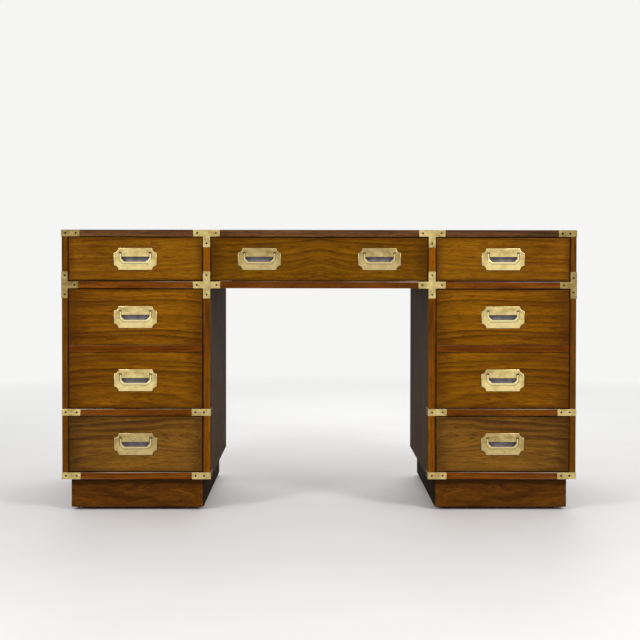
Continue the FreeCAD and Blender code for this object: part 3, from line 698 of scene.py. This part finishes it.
def make_brass_age():
    """Where brass has gone brown and olive, where it is brushed, where spots sit, and where old polish and
    painted shade darken it; marked edges stay light, as wear and as a painted highlight.
    On a pull the ends and the upper part are painted darker as shade, and the middle and the lower part stay
    bright: Reach is how far it goes across and up."""
    numbers = ["Wear And Shading", "Amount", "Pull Shading"]
    group, given = new_group("brass_age", ["Place", "From Middle", "Reach"], numbers)
    place = given["Place"]
    stains = place.cloud((46.0, 46.0, 60.0)) * 0.55
    for scale, share in (((130.0, 130.0, 170.0), 0.25), ((40.0, 300.0, 700.0), 0.2)):
        stains = stains + place.cloud(scale, 3.0) * share
    stains = stains.spread(0.38, 0.64) * given["Amount"]
    # A pull's ends and upper part are painted darker, as shade.
    out = (given["From Middle"] / given["Reach"]).split()
    ends = abs(out["X"]).spread(0.7, 1.0, 0.0, 0.5)
    upper = out["Z"].spread(-0.3, 1.0, -0.3, 0.2)
    painted_pull_shade = (ends + upper) * given["Pull Shading"]
    tarnish = (stains + painted_pull_shade).spread(0.0, 1.0)
    return put_out(group, {
        "Tarnish And Shade": tarnish * given["Wear And Shading"].spread(0.0, 1.0, 1.0, 0.3),
        "Brushing": place.cloud((60.0, 300.0, 2200.0)),
        "Spots": place.cloud((420.0, 420.0, 420.0)).spread(0.62, 0.74),
        "Dirt And Shade": given["Wear And Shading"].spread(-1.0, 0.0, 1.0, 0.0),
    })


brass_age = make_brass_age()


def brass(name, bright, aged, rough, tarnish, reach=None):
    """Aged sheet brass, lighter along its marked edges from wear and as a painted highlight, and darker where
    marked below zero from old polish and painted shade. A pull has the reach from its middle to its rim.
    """
    material, shader, place = new_material(name)
    tree = place.tree
    wear = {"Place": place, "Amount": tarnish, "Pull Shading": 1.0 if reach else 0.0}
    wear["Reach"] = reach or (1.0, 1.0, 1.0)
    wear["Wear And Shading"] = add(tree, "ShaderNodeAttribute", attribute_name="wear_and_shading")["Fac"]
    wear["From Middle"] = add(tree, "ShaderNodeAttribute", attribute_name="from_middle")["Vector"]
    age = add(tree, "ShaderNodeGroup", wear, node_tree=brass_age)
    colour = tint(age["Tarnish And Shade"], bright, aged)
    colour = tint(age["Spots"] * 0.3, colour, paint(110, 88, 40))
    # Old polish and painted shade darken the gaps and the rims of the pulls.
    colour = tint(age["Dirt And Shade"], colour, paint(52, 38, 16))
    dull = age["Brushing"].spread(0.3, 0.7, rough - 0.06, rough + 0.06) + age["Tarnish And Shade"] * 0.14
    surface(shader, colour, dull, age["Brushing"], strength=0.12, depth=0.00005)
    feed(shader, {"Metallic": age["Dirt And Shade"].spread(0.0, 1.0, 1.0, 0.2)})
    return material


def make_set_at_points():
    """A tree that sets a template at each point, turned to the point's outward way and spun at random."""
    tree = bpy.data.node_groups.new("set_at_points", "GeometryNodeTree")
    sockets = {"Points": "Geometry", "Template": "Object", "Turn": "Float", "Spin": "Float", "Seed": "Int",
               "Finish": "Material"}
    for label, kind in sockets.items():
        tree.interface.new_socket(label, in_out="INPUT", socket_type=f"NodeSocket{kind}")
    tree.interface.new_socket("Pieces", in_out="OUTPUT", socket_type="NodeSocketGeometry")
    given = add(tree, "NodeGroupInput")
    template = add(tree, "GeometryNodeObjectInfo", {"Object": given["Template"]})["Geometry"]
    stored = add(tree, "GeometryNodeInputNamedAttribute", {"Name": "outward"}, data_type="FLOAT_VECTOR")
    way = {"Factor": given["Turn"], "Vector": stored[0]}
    turned = add(tree, "FunctionNodeAlignRotationToVector", way, axis="Z")[0]
    most = {3: given["Spin"], "Seed": given["Seed"]}
    angle = add(tree, "FunctionNodeRandomValue", most, data_type="FLOAT")[1]
    spun = add(tree, "FunctionNodeAxisAngleToRotation", {"Axis": (0.0, 0.0, 1.0), "Angle": angle})[0]
    both = add(tree, "FunctionNodeRotateRotation", {0: turned, 1: spun}, rotation_space="LOCAL")[0]
    links = {"Points": given["Points"], "Instance": template, "Rotation": both}
    copies = add(tree, "GeometryNodeInstanceOnPoints", links)[0]
    real = add(tree, "GeometryNodeRealizeInstances", {0: copies})[0]
    done = add(tree, "GeometryNodeSetMaterial", {"Geometry": real, "Material": given["Finish"]})[0]
    add(tree, "NodeGroupOutput", {0: done})
    return tree


set_at_points = make_set_at_points()


def repeated(name, template, places, finish, turn=1.0, spin=0.0, seed=0):
    """One plain mesh with the template's shape at each place, which is a point and its outward way."""
    pattern = bpy.data.meshes.new(f"{name}_template")
    template.to_mesh(pattern)
    holder = in_scene(f"{name}_template", pattern)
    points = bpy.data.meshes.new(f"{name}_points")
    points.from_pydata([place for place, outward in places], [], [])
    outward_ways = points.attributes.new("outward", "FLOAT_VECTOR", "POINT")
    for value, (place, outward) in zip(outward_ways.data, places):
        value.vector = outward
    carrier = in_scene(f"{name}_points", points)
    modifier = carrier.modifiers.new("set_at_points", "NODES")
    modifier.node_group = set_at_points
    values = {"Template": holder, "Turn": turn, "Spin": spin, "Seed": seed, "Finish": finish}
    for socket in set_at_points.interface.items_tree:
        if socket.in_out == "INPUT" and socket.name in values:
            modifier[socket.identifier] = values[socket.name]
    evaluated = carrier.evaluated_get(bpy.context.evaluated_depsgraph_get())
    mesh = bpy.data.meshes.new_from_object(evaluated)
    mesh.name = name
    carrier.modifiers.remove(modifier)
    for spent in (carrier, holder):
        bpy.data.objects.remove(spent)
    return mesh


def solid_loft(bm, loops):
    """A loft whose two ends are closed."""
    rings = loft(bm, loops)
    cap(bm, rings[0])
    cap(bm, rings[-1])


def disc(radius, height, points=20):
    """A round loop of points at a height."""
    turns = [2 * math.pi * step / points for step in range(points)]
    return [(radius * math.cos(turn), radius * math.sin(turn), height) for turn in turns]


def slotted_head(radius, rise, slot_width, slot_depth, shank):
    """A screw head along +Z with its seat at zero: a round body and two half moons beside the slot."""
    bm = bmesh.new()
    solid_loft(bm, [(disc(radius, -shank), 0.0), (disc(radius, rise - slot_depth), 0.0)])
    beside_slot = math.degrees(math.asin(slot_width / 2 / radius))
    chamfer = radius * CHAMFER_SHARE
    for turn in (0, 180):
        first, last = turn + beside_slot, turn + 180 - beside_slot
        loops = []
        for size, height in ((radius, rise - slot_depth), (radius, rise - chamfer), (radius - chamfer, rise)):
            moon = arc(0.0, 0.0, size, first, last, MOON_STEPS)
            loops.append(([(*point, height) for point in moon], 0.0))
        solid_loft(bm, loops)
    bmesh.ops.recalc_face_normals(bm, faces=bm.faces)
    return bm


def screw_places(node):
    """Where the heads of a node's screws sit and which way each looks, read from the shape of the screws."""
    places = []
    for solid in solids(node):
        points = [vert.co.copy() for vert in solid.verts]
        solid.free()
        low = Vector(map(min, *points))
        high = Vector(map(max, *points))
        axis = max(range(3), key=lambda at: high[at] - low[at])
        middle = (low + high) / 2
        head_rim = max(points, key=lambda point: (point - middle).length)
        outward = Vector((0.0, 0.0, 0.0))
        outward[axis] = math.copysign(1.0, head_rim[axis] - middle[axis])
        middle[axis] = head_rim[axis]
        places.append((middle, outward))
    return places


def open_holes(bm, places):
    """Widens the mouths of the screw holes in a mount to take the heads."""
    for vert in bm.verts:
        for place, outward in places:
            offset = vert.co - place
            depth = outward * offset.dot(outward)
            across = offset - depth
            if depth.length < CLOSE and across.length < HEAD_RADIUS:
                vert.co = place + depth + across.normalized() * (HEAD_RADIUS + HEAD_ROOM)


def in_kneehole(face):
    """1 on the faces of a mount that look into the kneehole, which take a darker brass as painted shade."""
    return int(abs(face.center.x) < kneehole_half and abs(face.normal.x) > SIDEWAYS)


strap_brass = brass("strap_brass", paint(222, 200, 136), paint(152, 130, 74), 0.4, 0.9)
dull_brass = brass("dull_brass", paint(170, 146, 90), paint(108, 91, 50), 0.45, 0.9)
shaded_brass = brass("shaded_brass", paint(84, 70, 42), paint(50, 42, 24), 0.6, 1.0)
mount_finishes = {
    "top_corner_brackets": dull_brass,
    "top_tee_brackets": strap_brass,
    "side_tee_brackets": dull_brass,
    "cross_brackets": strap_brass,
    "corner_straps": strap_brass,
}
screw_spots = screw_places("bracket_screws")
for mount, finish in mount_finishes.items():
    sheet = eased(mount, MOUNT_EASE, MOUNT_EDGE)
    open_holes(sheet, screw_spots)
    fitted(f"{mount}_cut", sheet, "frame", "brass", mount, [finish, shaded_brass], in_kneehole)
dark_screw = speckled("dark_screw", paint(22, 17, 8), paint(12, 9, 4), 0.6, shine=0.05)
small_head = slotted_head(HEAD_RADIUS, HEAD_RISE, SLOT_WIDTH, SLOT_DEPTH, HEAD_SHANK)
heads = repeated("mount_screws", small_head, screw_spots, dark_screw, spin=math.pi, seed=7)
small_head.free()
shown("mount_screws", heads, "frame", "brass", "bracket_screws")


# Drawer fronts: thick boards faced with figured veneer, its leaves matched so that left and right mirror.
# The rims are darker, with glazing and painted shade, and a redder strip is let across each deep front to
# look like a rail.

FRONT_EASE = 0.0012
FRONT_EDGE = 0.003
STRIP_EASE = 0.0009
# How far in the fronts' darker rims reach, which are glazing with painted shade.
GLAZE_AND_SHADE_REACH = {"top": 0.025, "file": 0.06, "bottom": 0.05, "centre": 0.045}
GLAZE_AND_SHADE_DEPTH = 0.012
front_tones = {
    "top": (paint(58, 26, 1), paint(92, 47, 1), paint(152, 99, 12)),
    "file": (paint(56, 25, 1), paint(86, 44, 1), paint(148, 94, 5)),
    "bottom": (paint(50, 27, 8), paint(60, 34, 9), paint(144, 98, 31)),
    "centre": (paint(54, 27, 1), paint(80, 44, 1), paint(134, 87, 4)),
}
front_figures = {
    "top": {"heart": (0.56, -0.2, 0.52), "slant": 0.06, "ring": 0.013, "rings": 0.5, "bands": 0.45,
            "fade": ((0.57, 0.0, 0.0), (0.42, 0.0, 0.0), 0.0, 0.5)},
    "file": {"heart": (0.51, -0.22, 0.25), "slant": 0.3, "ring": 0.014, "rings": 0.75, "bands": 0.5,
             "fade": ((0.62, 0.0, 0.0), (0.4, 0.0, 0.0), 0.0, 0.38)},
    "bottom": {"heart": (0.3, -0.24, 0.1), "knot": (0.35, -0.305, 0.203), "slant": 0.16, "ring": 0.014,
               "rings": 0.75, "bands": 0.6, "fade": ((0.64, 0.0, 0.25), (0.57, 0.0, 0.09), -0.4, 0.5)},
    "centre": {"heart": (0.1, -0.2, 0.5), "slant": 0.08, "ring": 0.014, "rings": 0.45, "bands": 0.4,
               "sweep": 0.18, "waver": 0.045, "fade": ((0.0, 0.0, 0.73), (0.0, 0.0, 0.62), 0.0, 0.3)},
}
drawers = [body for body in frame["record"]["behaviour"]["bodies"] if body.endswith("_drawer")]
veneers = {}
strip_tones = paint(50, 20, 1), paint(78, 36, 1), paint(146, 78, 5)
# The strip's edges take a softer pale colour, from rubbing and as a painted highlight.
strip_wood = wood("strip_wood", *strip_tones, (0.2, 0.2, 0.3), rub_highlight=paint(160, 122, 92), **rail_grain)


def front_veneer(row, low, high):
    """The veneer of a row's fronts, made once from the corners of the first."""
    if row not in veneers:
        centre = (low + high) / 2
        dark_rim = (abs(centre.x), centre.y, centre.z), (high - low) / 2, (GLAZE_AND_SHADE_REACH[row], 1.0, GLAZE_AND_SHADE_DEPTH)
        veneers[row] = wood(f"{row}_veneer", *front_tones[row], **front_figures[row], matched=True,
                            dark_rim=dark_rim)
    return veneers[row]


def make_front(drawer):
    node = f"{drawer}_front"
    low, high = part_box(node)

    def on_rim(edge):
        """True along the outline of the front's face."""
        middle = edge_middle(edge)
        gaps = [abs(middle[axis] - corner[axis]) for corner in (low, high) for axis in (0, 2)]
        return abs(middle.y - low.y) < CLOSE and min(gaps) < CLOSE

    fitted(f"{node}_board", eased(node, FRONT_EASE, FRONT_EDGE, on_rim), drawer, "veneer", node,
           [front_veneer(drawer.split("_")[-2], low, high)])
    strip = f"{drawer.removesuffix('_drawer')}_false_rail"
    if strip in frame["nodes"]:
        fitted(f"{strip}_strip", eased(strip, STRIP_EASE), drawer, "case_wood", strip, [strip_wood])


for drawer in drawers:
    make_front(drawer)


# Drawer boxes: pale hardwood sides dovetailed into the fronts, a housed back and a thin grooved bottom.
# The boards are sanded and waxed, and their long edges are eased so that hands and papers slide past.

BOX_EASE = 0.0012
BOX_SIDEWAYS = 0.5
box_side = wood("box_side", *pale_tones, (0.1, 0.5, -0.2), along="Y", rough=0.5, rings=0.4, pores=0.35)
box_cross = wood("box_cross", *pale_tones, (0.1, 0.3, -0.1), rough=0.5, rings=0.4, pores=0.35)
for drawer in drawers:
    node = f"{drawer}_box"
    fitted(f"{node}_boards", eased(node, BOX_EASE), drawer, "drawer_wood", node, [box_side, box_cross],
           lambda face: int(abs(face.normal.x) < BOX_SIDEWAYS))


# Pulls: each front has a stamped brass plate over a sunk cup, and a bail hangs in the plate's window.
# Pan-head screws from inside the drawer hold the plate by its posts, and the bail turns on two pins.

PLATE_HALF = 0.057
PLATE_LOW = -0.02925
PLATE_HIGH = 0.02925
PLATE_THICK = 0.0022
PLATE_EASE = 0.0014
POLISH_SHADOW_LINE = 0.0009
POLISH_SHADOW_RISE = 0.0003
WINDOW_EASE = 0.0008
SCALLOP = 0.012
WINDOW_HALF = 0.0431
WINDOW_LOW = -0.0131
WINDOW_HIGH = 0.0179
WINDOW_SLANT = 0.0101
TAB_HALF = 0.0367
TAB_LOW = 0.006
BAIL_HALF = 0.0425
BAIL_ARM = 0.0052
BAIL_GRIP = 0.0055
BAIL_LOW = -0.0125
BAIL_TOP = 0.0151
BAIL_SLANT = 0.0095
BAIL_INNER_SLANT = 0.008
BAIL_FACE = -0.002
BAIL_BACK = 0.003
BAIL_EASE = 0.0011
PIN_RADIUS = 0.00125
PIN_LENGTH = 0.0024
PIN_HEIGHT = 0.0133
PIN_DEPTH = 0.0016
LUG_HEIGHT = 0.0026
LUG_DEPTH = 0.0042
LUG_THICK = 0.0022
CUP_HALF = 0.0466
CUP_LOW = -0.0155
CUP_HIGH = 0.0209
CUP_DEPTH = 0.012
CUP_WALL = 0.001
CUP_FILLET = 0.0025
POST_OFFSET = 0.0515
PAN_RADIUS = 0.0035
PAN_RISE = 0.002
PAN_SLOT_WIDTH = 0.00112
PAN_SLOT_DEPTH = 0.0012


def outline_at(points, y):
    """An outline in the plane of the front, set at a depth."""
    return [(point.x, y, point.y) for point in points]


def mirrored(right):
    """A whole outline from its right half."""
    return [Vector(point) for point in right] + [Vector((-x, z)) for x, z in reversed(right)]


def edge_profile(outline, face, back, ease, marks, sign=1):
    """Loops from the back of a sheet, painted dark there as shade, over its rounded front edge; sign -1 is
    for a window.
    The marks say how much wear and painted highlight, or below zero how much painted shade, each step of the
    rounding takes."""
    loops = [(outline_at(outline, back), -1.0)]
    for (inward, drop), mark in zip(quarter_round(ease), marks):
        loops.append((outline_at(inset(outline, inward * sign), face + drop), mark))
    return loops


def block(bm, low, high):
    """A small box, as part of a larger piece."""
    middle = (low + high) / 2
    for vert in bmesh.ops.create_cube(bm, size=1.0)["verts"]:
        vert.co = middle + Vector(part * whole for part, whole in zip(vert.co, high - low))


def finish_pull(bm):
    """Turns a pull's faces outward and keeps at each point how far it is from the middle of the pull."""
    bmesh.ops.recalc_face_normals(bm, faces=bm.faces)
    layer = bm.verts.layers.float_vector.new("from_middle")
    for vert in bm.verts:
        vert[layer] = vert.co


def make_plate():
    """The plate round its own middle, with two lugs behind it for the bail's pins and a dark line along its
    rim that is old polish together with a painted shadow of the plate."""
    outline = list(arc(PLATE_HALF, PLATE_LOW, SCALLOP, 180, 90))
    outline += arc(PLATE_HALF, PLATE_HIGH, SCALLOP, 270, 180)
    outline += arc(-PLATE_HALF, PLATE_HIGH, SCALLOP, 0, -90)
    outline += arc(-PLATE_HALF, PLATE_LOW, SCALLOP, 90, 0)
    slant = WINDOW_SLANT
    right = [(WINDOW_HALF - slant, WINDOW_LOW), (WINDOW_HALF, WINDOW_LOW + slant), (WINDOW_HALF, WINDOW_HIGH)]
    window = mirrored(right + [(TAB_HALF, WINDOW_HIGH), (TAB_HALF, TAB_LOW)])
    bm = bmesh.new()
    # A dark loop just outside the rim is old polish and a painted shadow of the plate on the wood; the rim is
    # painted dark at its foot as shade and light at its crown as a highlight.
    rim = [(outline_at(inset(outline, -POLISH_SHADOW_LINE), 0.0), -1.0)]
    rim += edge_profile(outline, -PLATE_THICK, -POLISH_SHADOW_RISE, PLATE_EASE, (-0.6, 0.4, 1.0, 0.4))
    outside = loft(bm, rim)
    # The window's rounded edge is painted dark, as shade in the gap round the bail.
    opening = loft(bm, edge_profile(window, -PLATE_THICK, 0.0, WINDOW_EASE, (-1.0, -0.8, -0.3, 0.0), -1))
    for end in (0, -1):
        cap(bm, outside[end], opening[end])
    for sign in (-1, 1):
        near, far = sorted((sign * WINDOW_HALF, sign * (WINDOW_HALF + LUG_THICK)))
        lug_low = Vector((near, 0.0, PIN_HEIGHT - LUG_HEIGHT))
        block(bm, lug_low, Vector((far, LUG_DEPTH, PIN_HEIGHT + LUG_HEIGHT)))
    finish_pull(bm)
    return bm


def make_cup():
    """The pressed cup round its own middle, its floor rounded into its walls."""
    half = CUP_HALF - CUP_WALL
    mouth = rounded_rectangle(-half, half, CUP_LOW + CUP_WALL, CUP_HIGH - CUP_WALL, CUP_FILLET + CUP_WALL)
    floor = CUP_DEPTH - CUP_WALL
    loops = [(outline_at(inset(mouth, -CUP_WALL), depth), 0.0) for depth in (CUP_DEPTH, 0.0)]
    loops.append((outline_at(mouth, 0.0), 0.0))
    for inward, drop in quarter_round(CUP_FILLET, 4):
        loops.append((outline_at(inset(mouth, inward), floor - drop), 0.0))
    bm = bmesh.new()
    solid_loft(bm, loops)
    bmesh.ops.recalc_face_normals(bm, faces=bm.faces)
    return bm


def make_bail(spot):
    """The bail at a pull's middle: a flat loop open at the top, rounded for the fingers, with two pins."""
    inside = BAIL_HALF - BAIL_ARM
    grip = BAIL_LOW + BAIL_GRIP
    right = [(BAIL_HALF - BAIL_SLANT, BAIL_LOW), (BAIL_HALF, BAIL_LOW + BAIL_SLANT), (BAIL_HALF, BAIL_TOP)]
    right += [(inside, BAIL_TOP), (inside, grip + BAIL_INNER_SLANT), (inside - BAIL_INNER_SLANT, grip)]
    outline = mirrored(right)
    loops = []
    rounded = quarter_round(BAIL_EASE)
    # The bail's sides are painted dark as shade in the gap round it, and its face light as a painted
    # highlight.
    for (inward, drop), mark in zip(reversed(rounded), (0.0, -0.4, -1.0, -1.0)):
        loops.append((outline_at(inset(outline, inward), BAIL_BACK - drop), mark))
    for (inward, drop), mark in zip(rounded, (-0.8, -0.3, 0.6, 1.0)):
        loops.append((outline_at(inset(outline, inward), BAIL_FACE + drop), mark))
    bm = bmesh.new()
    solid_loft(bm, loops)
    for sign in (-1, 1):
        ends = sorted((sign * (BAIL_HALF - BAIL_ARM / 2), sign * (BAIL_HALF + PIN_LENGTH)))
        solid_loft(bm, [([(x, PIN_DEPTH + y, PIN_HEIGHT + z) for z, y, flat in disc(PIN_RADIUS, 0.0)], 0.0)
                        for x in ends])
    finish_pull(bm)
    bmesh.ops.translate(bm, verts=bm.verts, vec=spot)
    return bm


pull_reach = PLATE_HALF, 1.0, PLATE_HIGH
bright_plate = brass("bright_plate", paint(238, 216, 148), paint(152, 126, 66), 0.32, 0.75, pull_reach)
bright_bail = brass("bright_bail", paint(242, 225, 164), paint(170, 144, 82), 0.3, 0.6, pull_reach)
dull_plate = brass("dull_plate", paint(206, 182, 124), paint(130, 107, 58), 0.36, 0.8, pull_reach)
dull_bail = brass("dull_bail", paint(218, 196, 138), paint(146, 122, 70), 0.34, 0.7, pull_reach)
pull_finishes = {"top": (bright_plate, bright_bail), "bottom": (dull_plate, dull_bail)}
pull_finishes.update({"file": pull_finishes["top"], "centre": pull_finishes["bottom"]})
# The cup's grey-lilac, lighter than its dark metal, is partly a painted reflection of the room.
cup_metal_and_reflection = speckled("cup_metal_and_reflection", paint(112, 102, 108), paint(150, 140, 142), 0.42, scale=700.0)
pan_steel = speckled("pan_steel", paint(150, 140, 116), paint(118, 106, 84), 0.4, metal=1.0)
plate_shape = make_plate()
cup_shape = make_cup()
pan_head = slotted_head(PAN_RADIUS, PAN_RISE, PAN_SLOT_WIDTH, PAN_SLOT_DEPTH, 0.0)
into_drawer = Vector((0.0, 1.0, 0.0))
for drawer in drawers:
    name = drawer.removesuffix("_drawer")
    low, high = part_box(f"{drawer}_front")
    bails = [joint["child"] for joint in frame["joints"] if joint["parent"] == drawer]
    spots = []
    for bail in bails:
        bail_low, bail_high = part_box(bail)
        spots.append(Vector(((bail_low.x + bail_high.x) / 2, low.y, bail_low.z - BAIL_LOW)))
    at_spots = [(spot, into_drawer) for spot in spots]
    plate_finish, bail_finish = pull_finishes[drawer.split("_")[-2]]
    plates = repeated(f"{name}_plates", plate_shape, at_spots, plate_finish, turn=0.0)
    shown(f"{name}_plates", plates, drawer, "brass", f"{name}_pull_plates")
    cups = repeated(f"{name}_cups", cup_shape, at_spots, cup_metal_and_reflection, turn=0.0)
    shown(f"{name}_cups", cups, drawer, "dark_cup", f"{name}_pull_cups")
    posts = [Vector((spot.x + sign * POST_OFFSET, high.y, spot.z)) for spot in spots for sign in (-1, 1)]
    pans = repeated(f"{name}_pull_screws", pan_head, [(post, into_drawer) for post in posts], pan_steel,
                    spin=math.pi, seed=11)
    shown(f"{name}_pull_screws", pans, drawer, "brass")
    for bail, spot in zip(bails, spots):
        fitted(f"{bail}_loop", make_bail(spot), bail, "brass", bail, [bail_finish])
for spent in (plate_shape, cup_shape, pan_head):
    spent.free()


# Stage: a pale floor that fades into a pale background, a soft lamp at each side in front and one behind.
# The camera stands a little to the left of the middle, level with the top drawers.

FLOOR_REACH = 12.0
FLOOR_GREY = (0.89, 0.885, 0.88, 1.0)
PALE = (0.92, 0.915, 0.91, 1.0)
FADE_START = 1.5
FADE_END = 4.0
WORLD_GREY = (0.5, 0.5, 0.5, 1.0)


def mix_in_pale(tree, kind, factor, lit, output):
    """Turns a lit surface plain pale by a factor, for the camera, in reflections and through glass."""
    path = add(tree, "ShaderNodeLightPath")
    seen = path["Is Camera Ray"].at_least(path["Is Glossy Ray"].at_least(path["Is Transmission Ray"]))
    pale = add(tree, kind, {"Color": PALE, "Strength": 1.0})[0]
    shaders = {0: seen * factor, 1: Field(lit.outputs[0]), 2: pale}
    feed(tree.nodes[output], {"Surface": add(tree, "ShaderNodeMixShader", shaders)[0]})


def make_floor():
    bm = bmesh.new()
    bmesh.ops.create_grid(bm, x_segments=24, y_segments=24, size=FLOOR_REACH)
    mesh = as_mesh("floor", bm)
    material, shader, place = new_material("pale_floor")
    mottle = place.cloud((3.0, 3.0, 3.0), 4.0).spread(0.3, 0.7)
    feed(shader, {"Base Color": tint(mottle, FLOOR_GREY, PALE), "Roughness": 0.6})
    fade = place.length().spread(FADE_START, FADE_END)
    mix_in_pale(place.tree, "ShaderNodeEmission", fade, shader, "Material Output")
    mesh.materials.append(material)
    in_scene("floor", mesh)


def make_world():
    world = bpy.data.worlds.new("studio")
    bpy.context.scene.world = world
    world.use_nodes = True
    tree = world.node_tree
    light = tree.nodes["Background"]
    feed(light, {"Color": WORLD_GREY})
    mix_in_pale(tree, "ShaderNodeBackground", 1.0, light, "World Output")


def make_lamp(name, place, aim, size, power):
    lamp = bpy.data.lights.new(name, "AREA")
    lamp.shape = "DISK"
    lamp.size = size
    lamp.energy = power
    holder = in_scene(name, lamp)
    holder.location = place
    holder.rotation_euler = (Vector(aim) - Vector(place)).to_track_quat("-Z", "Y").to_euler()


make_floor()
make_world()
make_lamp("right_lamp", (2.3, -2.4, 1.9), (0.0, 0.0, 0.4), size=1.0, power=46.0)
make_lamp("left_lamp", (-2.3, -2.4, 1.9), (0.0, 0.0, 0.4), size=1.0, power=38.0)
make_lamp("back_lamp", (0.3, 2.2, 2.4), (0.0, 0.3, 0.0), size=2.4, power=34.0)

CAMERA_PLACE = (-0.019, -3.593, 0.647)
CAMERA_PITCH = -1.152
CAMERA_YAW = -0.357
CAMERA_ROLL = -0.06
PHOTO_WIDTH = 640
FOCAL_PIXELS = 1234
MIDDLE_ROW = 294.1
lens = bpy.data.cameras.new("camera")
lens.sensor_width = 36.0
lens.lens = FOCAL_PIXELS / PHOTO_WIDTH * lens.sensor_width
lens.shift_y = (MIDDLE_ROW - PHOTO_WIDTH / 2) / PHOTO_WIDTH
camera = in_scene("camera", lens)
camera.location = CAMERA_PLACE
camera.rotation_euler = [math.radians(turn) for turn in (90 + CAMERA_PITCH, CAMERA_ROLL, CAMERA_YAW)]
bpy.context.scene.camera = camera
bpy.context.scene.view_settings.view_transform = "Standard"
